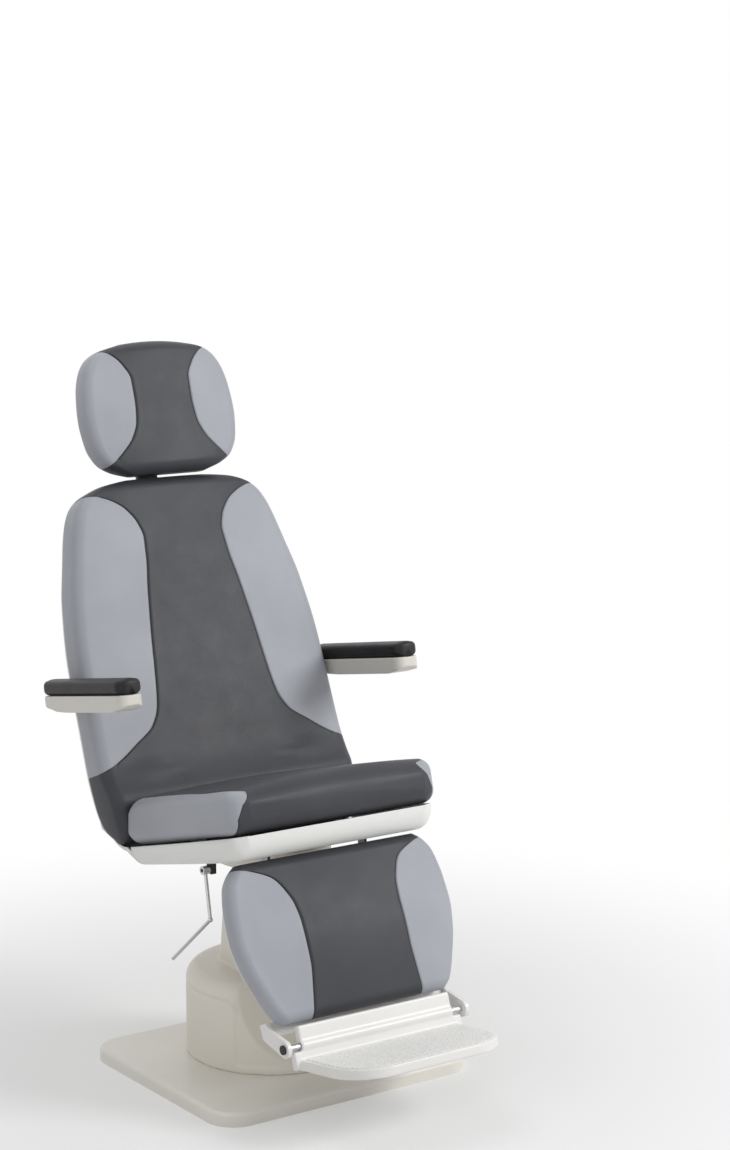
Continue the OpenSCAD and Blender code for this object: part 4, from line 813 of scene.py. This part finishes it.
def scoreDrum(mesh):
    # the shadow line under the drum's shoulder, from one edge of the front slope round the back to the other
    for vertex in mesh.vertices:
        x, y, z = vertex.co
        reach = math.hypot(x, y)
        turn = abs(math.degrees(math.atan2(x, -y)))
        if reach > drum["radius"] - drum["lineReach"] and turn > drum["lineTurn"]:
            low = smoothStep((drum["lineTurn"] + drum["lineBlend"] - turn) / drum["lineBlend"])
            height = drum["lineHeight"] - drum["lineFall"] * low ** 2
            sunk = drum["lineDepth"] * math.exp(-((z - height) / drum["lineWidth"]) ** 2)
            vertex.co.x, vertex.co.y = x * (1 - sunk / reach), y * (1 - sunk / reach)


easing = {"weld": 1e-6, "factor": 0.5, "coarse": 1, "drumVoxel": 0.0035,
          "footVoxel": 0.0022, "armVoxel": 0.0015, "passes": 4, "armPasses": 7}


def softened(name, node, voxel, passes, body, material, prepare=None, score=None):
    # the CAD node's own shape, remeshed, with its edges eased as a mould or a coat of enamel leaves them
    mesh = nodes[node].data.copy()
    if prepare:
        prepare(mesh)
    made = bpy.data.objects.new(name, mesh)
    bpy.context.collection.objects.link(made)
    weld = made.modifiers.new("weld", "WELD")
    weld.merge_threshold = easing["weld"]
    remesh = made.modifiers.new("remesh", "REMESH")
    remesh.mode, remesh.voxel_size, remesh.use_smooth_shade = "VOXEL", voxel, True
    smooth = made.modifiers.new("ease", "SMOOTH")
    smooth.factor, smooth.iterations = easing["factor"], passes
    result = bpy.data.meshes.new_from_object(made.evaluated_get(bpy.context.evaluated_depsgraph_get()))
    made.modifiers.clear()
    made.data = result
    result.name = name
    if score:
        score(result)
    result.materials.clear()
    result.materials.append(material)
    result.polygons.foreach_set("use_smooth", [True] * len(result.polygons))
    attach(made, body)
    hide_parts(node)


softened("base_moulding", "base_cover", easing["drumVoxel"], easing["passes"], "root",
         coverPlastic, thickenDrumFront, scoreDrum)
softened("foot_casting", "footplate", easing["footVoxel"] * easing["coarse"], easing["passes"], "foot_rest",
         footEnamel)
for side in ("right", "left"):
    softened("arm_casing_moulding_" + side, "arm_casing_" + side, easing["armVoxel"] * easing["coarse"],
             easing["armPasses"], "arm_" + side, armPlastic)
print("mouldings softened")


stitch = {"Stitch spacing": 0.0052, "Stitch length": 0.0032, "Thread radius": 0.00045}  # in metres
threadSides = 6


def stitchTree():
    tree = bpy.data.node_groups.new("seam stitching", "GeometryNodeTree")
    face = tree.interface
    face.new_socket("Geometry", in_out="INPUT", socket_type="NodeSocketGeometry")
    sockets = {}
    for name, value in stitch.items():
        socket = face.new_socket(name, in_out="INPUT", socket_type="NodeSocketFloat")
        socket.default_value = value
        sockets[name] = socket.identifier
    face.new_socket("Geometry", in_out="OUTPUT", socket_type="NodeSocketGeometry")
    start = addNode(tree, "NodeGroupInput")
    line = addNode(tree, "GeometryNodeMeshToCurve", links={"Mesh": start.outputs["Geometry"]})
    even = addNode(tree, "GeometryNodeResampleCurve", {"mode": "LENGTH"},
                   links={"Curve": line.outputs["Curve"], "Length": start.outputs["Stitch spacing"]})
    along = addNode(tree, "GeometryNodeInputTangent")
    turn = addNode(tree, "FunctionNodeAlignRotationToVector", {"axis": "Z"},
                   links={"Vector": along.outputs["Tangent"]})
    thread = addNode(tree, "GeometryNodeMeshCylinder", inputs={"Vertices": threadSides},
                     links={"Radius": start.outputs["Thread radius"],
                            "Depth": start.outputs["Stitch length"]})
    placed = addNode(tree, "GeometryNodeInstanceOnPoints",
                     links={"Points": even.outputs["Curve"], "Instance": thread.outputs["Mesh"],
                            "Rotation": turn.outputs["Rotation"]})
    real = addNode(tree, "GeometryNodeRealizeInstances", links={"Geometry": placed.outputs["Instances"]})
    named = addNode(tree, "GeometryNodeSetMaterial", inputs={"Material": stitchThread},
                    links={"Geometry": real.outputs["Geometry"]})
    addNode(tree, "NodeGroupOutput", links={"Geometry": named.outputs["Geometry"]})
    return tree, sockets


stitches, stitchSockets = stitchTree()


def stitchRows(name, lines, body):
    points, edges = [], []
    for line in lines:
        first = len(points)
        points += line
        edges += [(first + i, first + i + 1) for i in range(len(line) - 1)]
    mesh = bpy.data.meshes.new(name)
    mesh.from_pydata(points, edges, [])
    made = bpy.data.objects.new(name, mesh)
    bpy.context.collection.objects.link(made)
    sewing = made.modifiers.new("stitching", "NODES")
    sewing.node_group = stitches
    for socket, value in stitch.items():
        sewing[stitchSockets[socket]] = value
    made.data = bpy.data.meshes.new_from_object(made.evaluated_get(bpy.context.evaluated_depsgraph_get()))
    made.modifiers.clear()
    made.data.name = name
    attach(made, body)


for name, lines, body in (("seat_stitching", seatSeams, "seat"),
                          ("back_stitching", backSeams, "back"),
                          ("headrest_stitching", headSeams, "headrest"),
                          ("leg_stitching", legSeams, "leg_rest")):
    stitchRows(name, [line[2:-2] for line in lines], body)  # a row stops short of its seam's ends
print("seams stitched")


studio = {"floorHalf": 14.0, "paper": (0.86, 0.86, 0.86, 1), "white": (1, 1, 1, 1),
          "fadeStart": 0.5, "fadeEnd": 1.8, "nearWhite": 0.25, "world": 0.48,
          "lights": {"key_light": ((2.6, -3.4, 3.0), (0, 0, 0.6), 1.6, 108),  # place, target, size, watts
                     "fill_light": ((-3.4, -1.8, 1.8), (0, 0, 0.6), 2.0, 8),
                     "top_light": ((-0.6, 0.8, 3.6), (0, 0, 0.5), 2.2, 22)}}


def seenMask(tree):  # one for rays from the camera, in reflections and through clear pieces, else zero
    rays = addNode(tree, "ShaderNodeLightPath")
    direct = addNode(tree, "ShaderNodeMath", {"operation": "MAXIMUM"},
                     links={0: rays.outputs["Is Camera Ray"], 1: rays.outputs["Is Glossy Ray"]})
    return addNode(tree, "ShaderNodeMath", {"operation": "MAXIMUM"},
                   links={0: direct.outputs["Value"], 1: rays.outputs["Is Transmission Ray"]})


def makeFloor():  # white paper that takes a soft shadow near the chair and fades into the background
    half = studio["floorHalf"]
    corners = [(-half, -half, 0), (half, -half, 0), (half, half, 0), (-half, half, 0)]
    floor = meshObject("studio_floor", corners, [(0, 1, 2, 3)], [], smooth=False)
    material = bpy.data.materials.new("studio_floor_paper")
    material.use_nodes = True
    tree = material.node_tree
    tree.nodes.clear()
    where = addNode(tree, "ShaderNodeTexCoord").outputs["Object"]
    far = addNode(tree, "ShaderNodeVectorMath", {"operation": "LENGTH"}, links={0: where})
    fade = addNode(tree, "ShaderNodeMapRange", {"interpolation_type": "SMOOTHSTEP"},
                   {"From Min": studio["fadeStart"], "From Max": studio["fadeEnd"],
                    "To Min": studio["nearWhite"], "To Max": 1.0}, {"Value": far.outputs["Value"]})
    share = addNode(tree, "ShaderNodeMath", {"operation": "MULTIPLY"},
                    links={0: seenMask(tree).outputs["Value"], 1: fade.outputs["Result"]})
    paper = addNode(tree, "ShaderNodeBsdfDiffuse", inputs={"Color": studio["paper"]})
    white = addNode(tree, "ShaderNodeEmission", inputs={"Color": studio["white"], "Strength": 1.0})
    mix = addNode(tree, "ShaderNodeMixShader",
                  links={0: share.outputs["Value"], 1: paper.outputs["BSDF"], 2: white.outputs["Emission"]})
    addNode(tree, "ShaderNodeOutputMaterial", links={"Surface": mix.outputs["Shader"]})
    floor.data.materials.append(material)


def makeWorld():  # white to the camera, and a dimmer light on the chair
    world = bpy.data.worlds.new("studio")
    bpy.context.scene.world = world
    world.use_nodes = True
    tree = world.node_tree
    tree.nodes.clear()
    level = addNode(tree, "ShaderNodeMapRange", inputs={"To Min": studio["world"], "To Max": 1.0},
                    links={"Value": seenMask(tree).outputs["Value"]})
    sky = addNode(tree, "ShaderNodeBackground", inputs={"Color": studio["white"]},
                  links={"Strength": level.outputs["Result"]})
    addNode(tree, "ShaderNodeOutputWorld", links={"Surface": sky.outputs["Background"]})


def softBox(name, location, target, size, energy):
    light = bpy.data.lights.new(name, "AREA")
    light.shape, light.size, light.energy = "SQUARE", size, energy
    lamp = bpy.data.objects.new(name, light)
    bpy.context.collection.objects.link(lamp)
    lamp.location = location
    lamp.rotation_euler = (Vector(target) - Vector(location)).to_track_quat("-Z", "Y").to_euler()


makeFloor()
makeWorld()
for name, (location, target, size, energy) in studio["lights"].items():
    softBox(name, location, target, size, energy)

shot = {"location": (-2.8136, -4.3091, 1.8520), "tilt": 80.63, "turn": -35.22, "lens": 82.16, "film": 36,
        "farthest": 60}
lens = bpy.data.cameras.new("photo_camera")
lens.sensor_fit, lens.sensor_height, lens.lens = "VERTICAL", shot["film"], shot["lens"]
lens.clip_end = shot["farthest"]
camera = bpy.data.objects.new("photo_camera", lens)
bpy.context.collection.objects.link(camera)
camera.location = shot["location"]
camera.rotation_euler = (math.radians(shot["tilt"]), 0, math.radians(shot["turn"]))
bpy.context.scene.camera = camera
bpy.context.scene.view_settings.view_transform = "Standard"
print("studio ready")
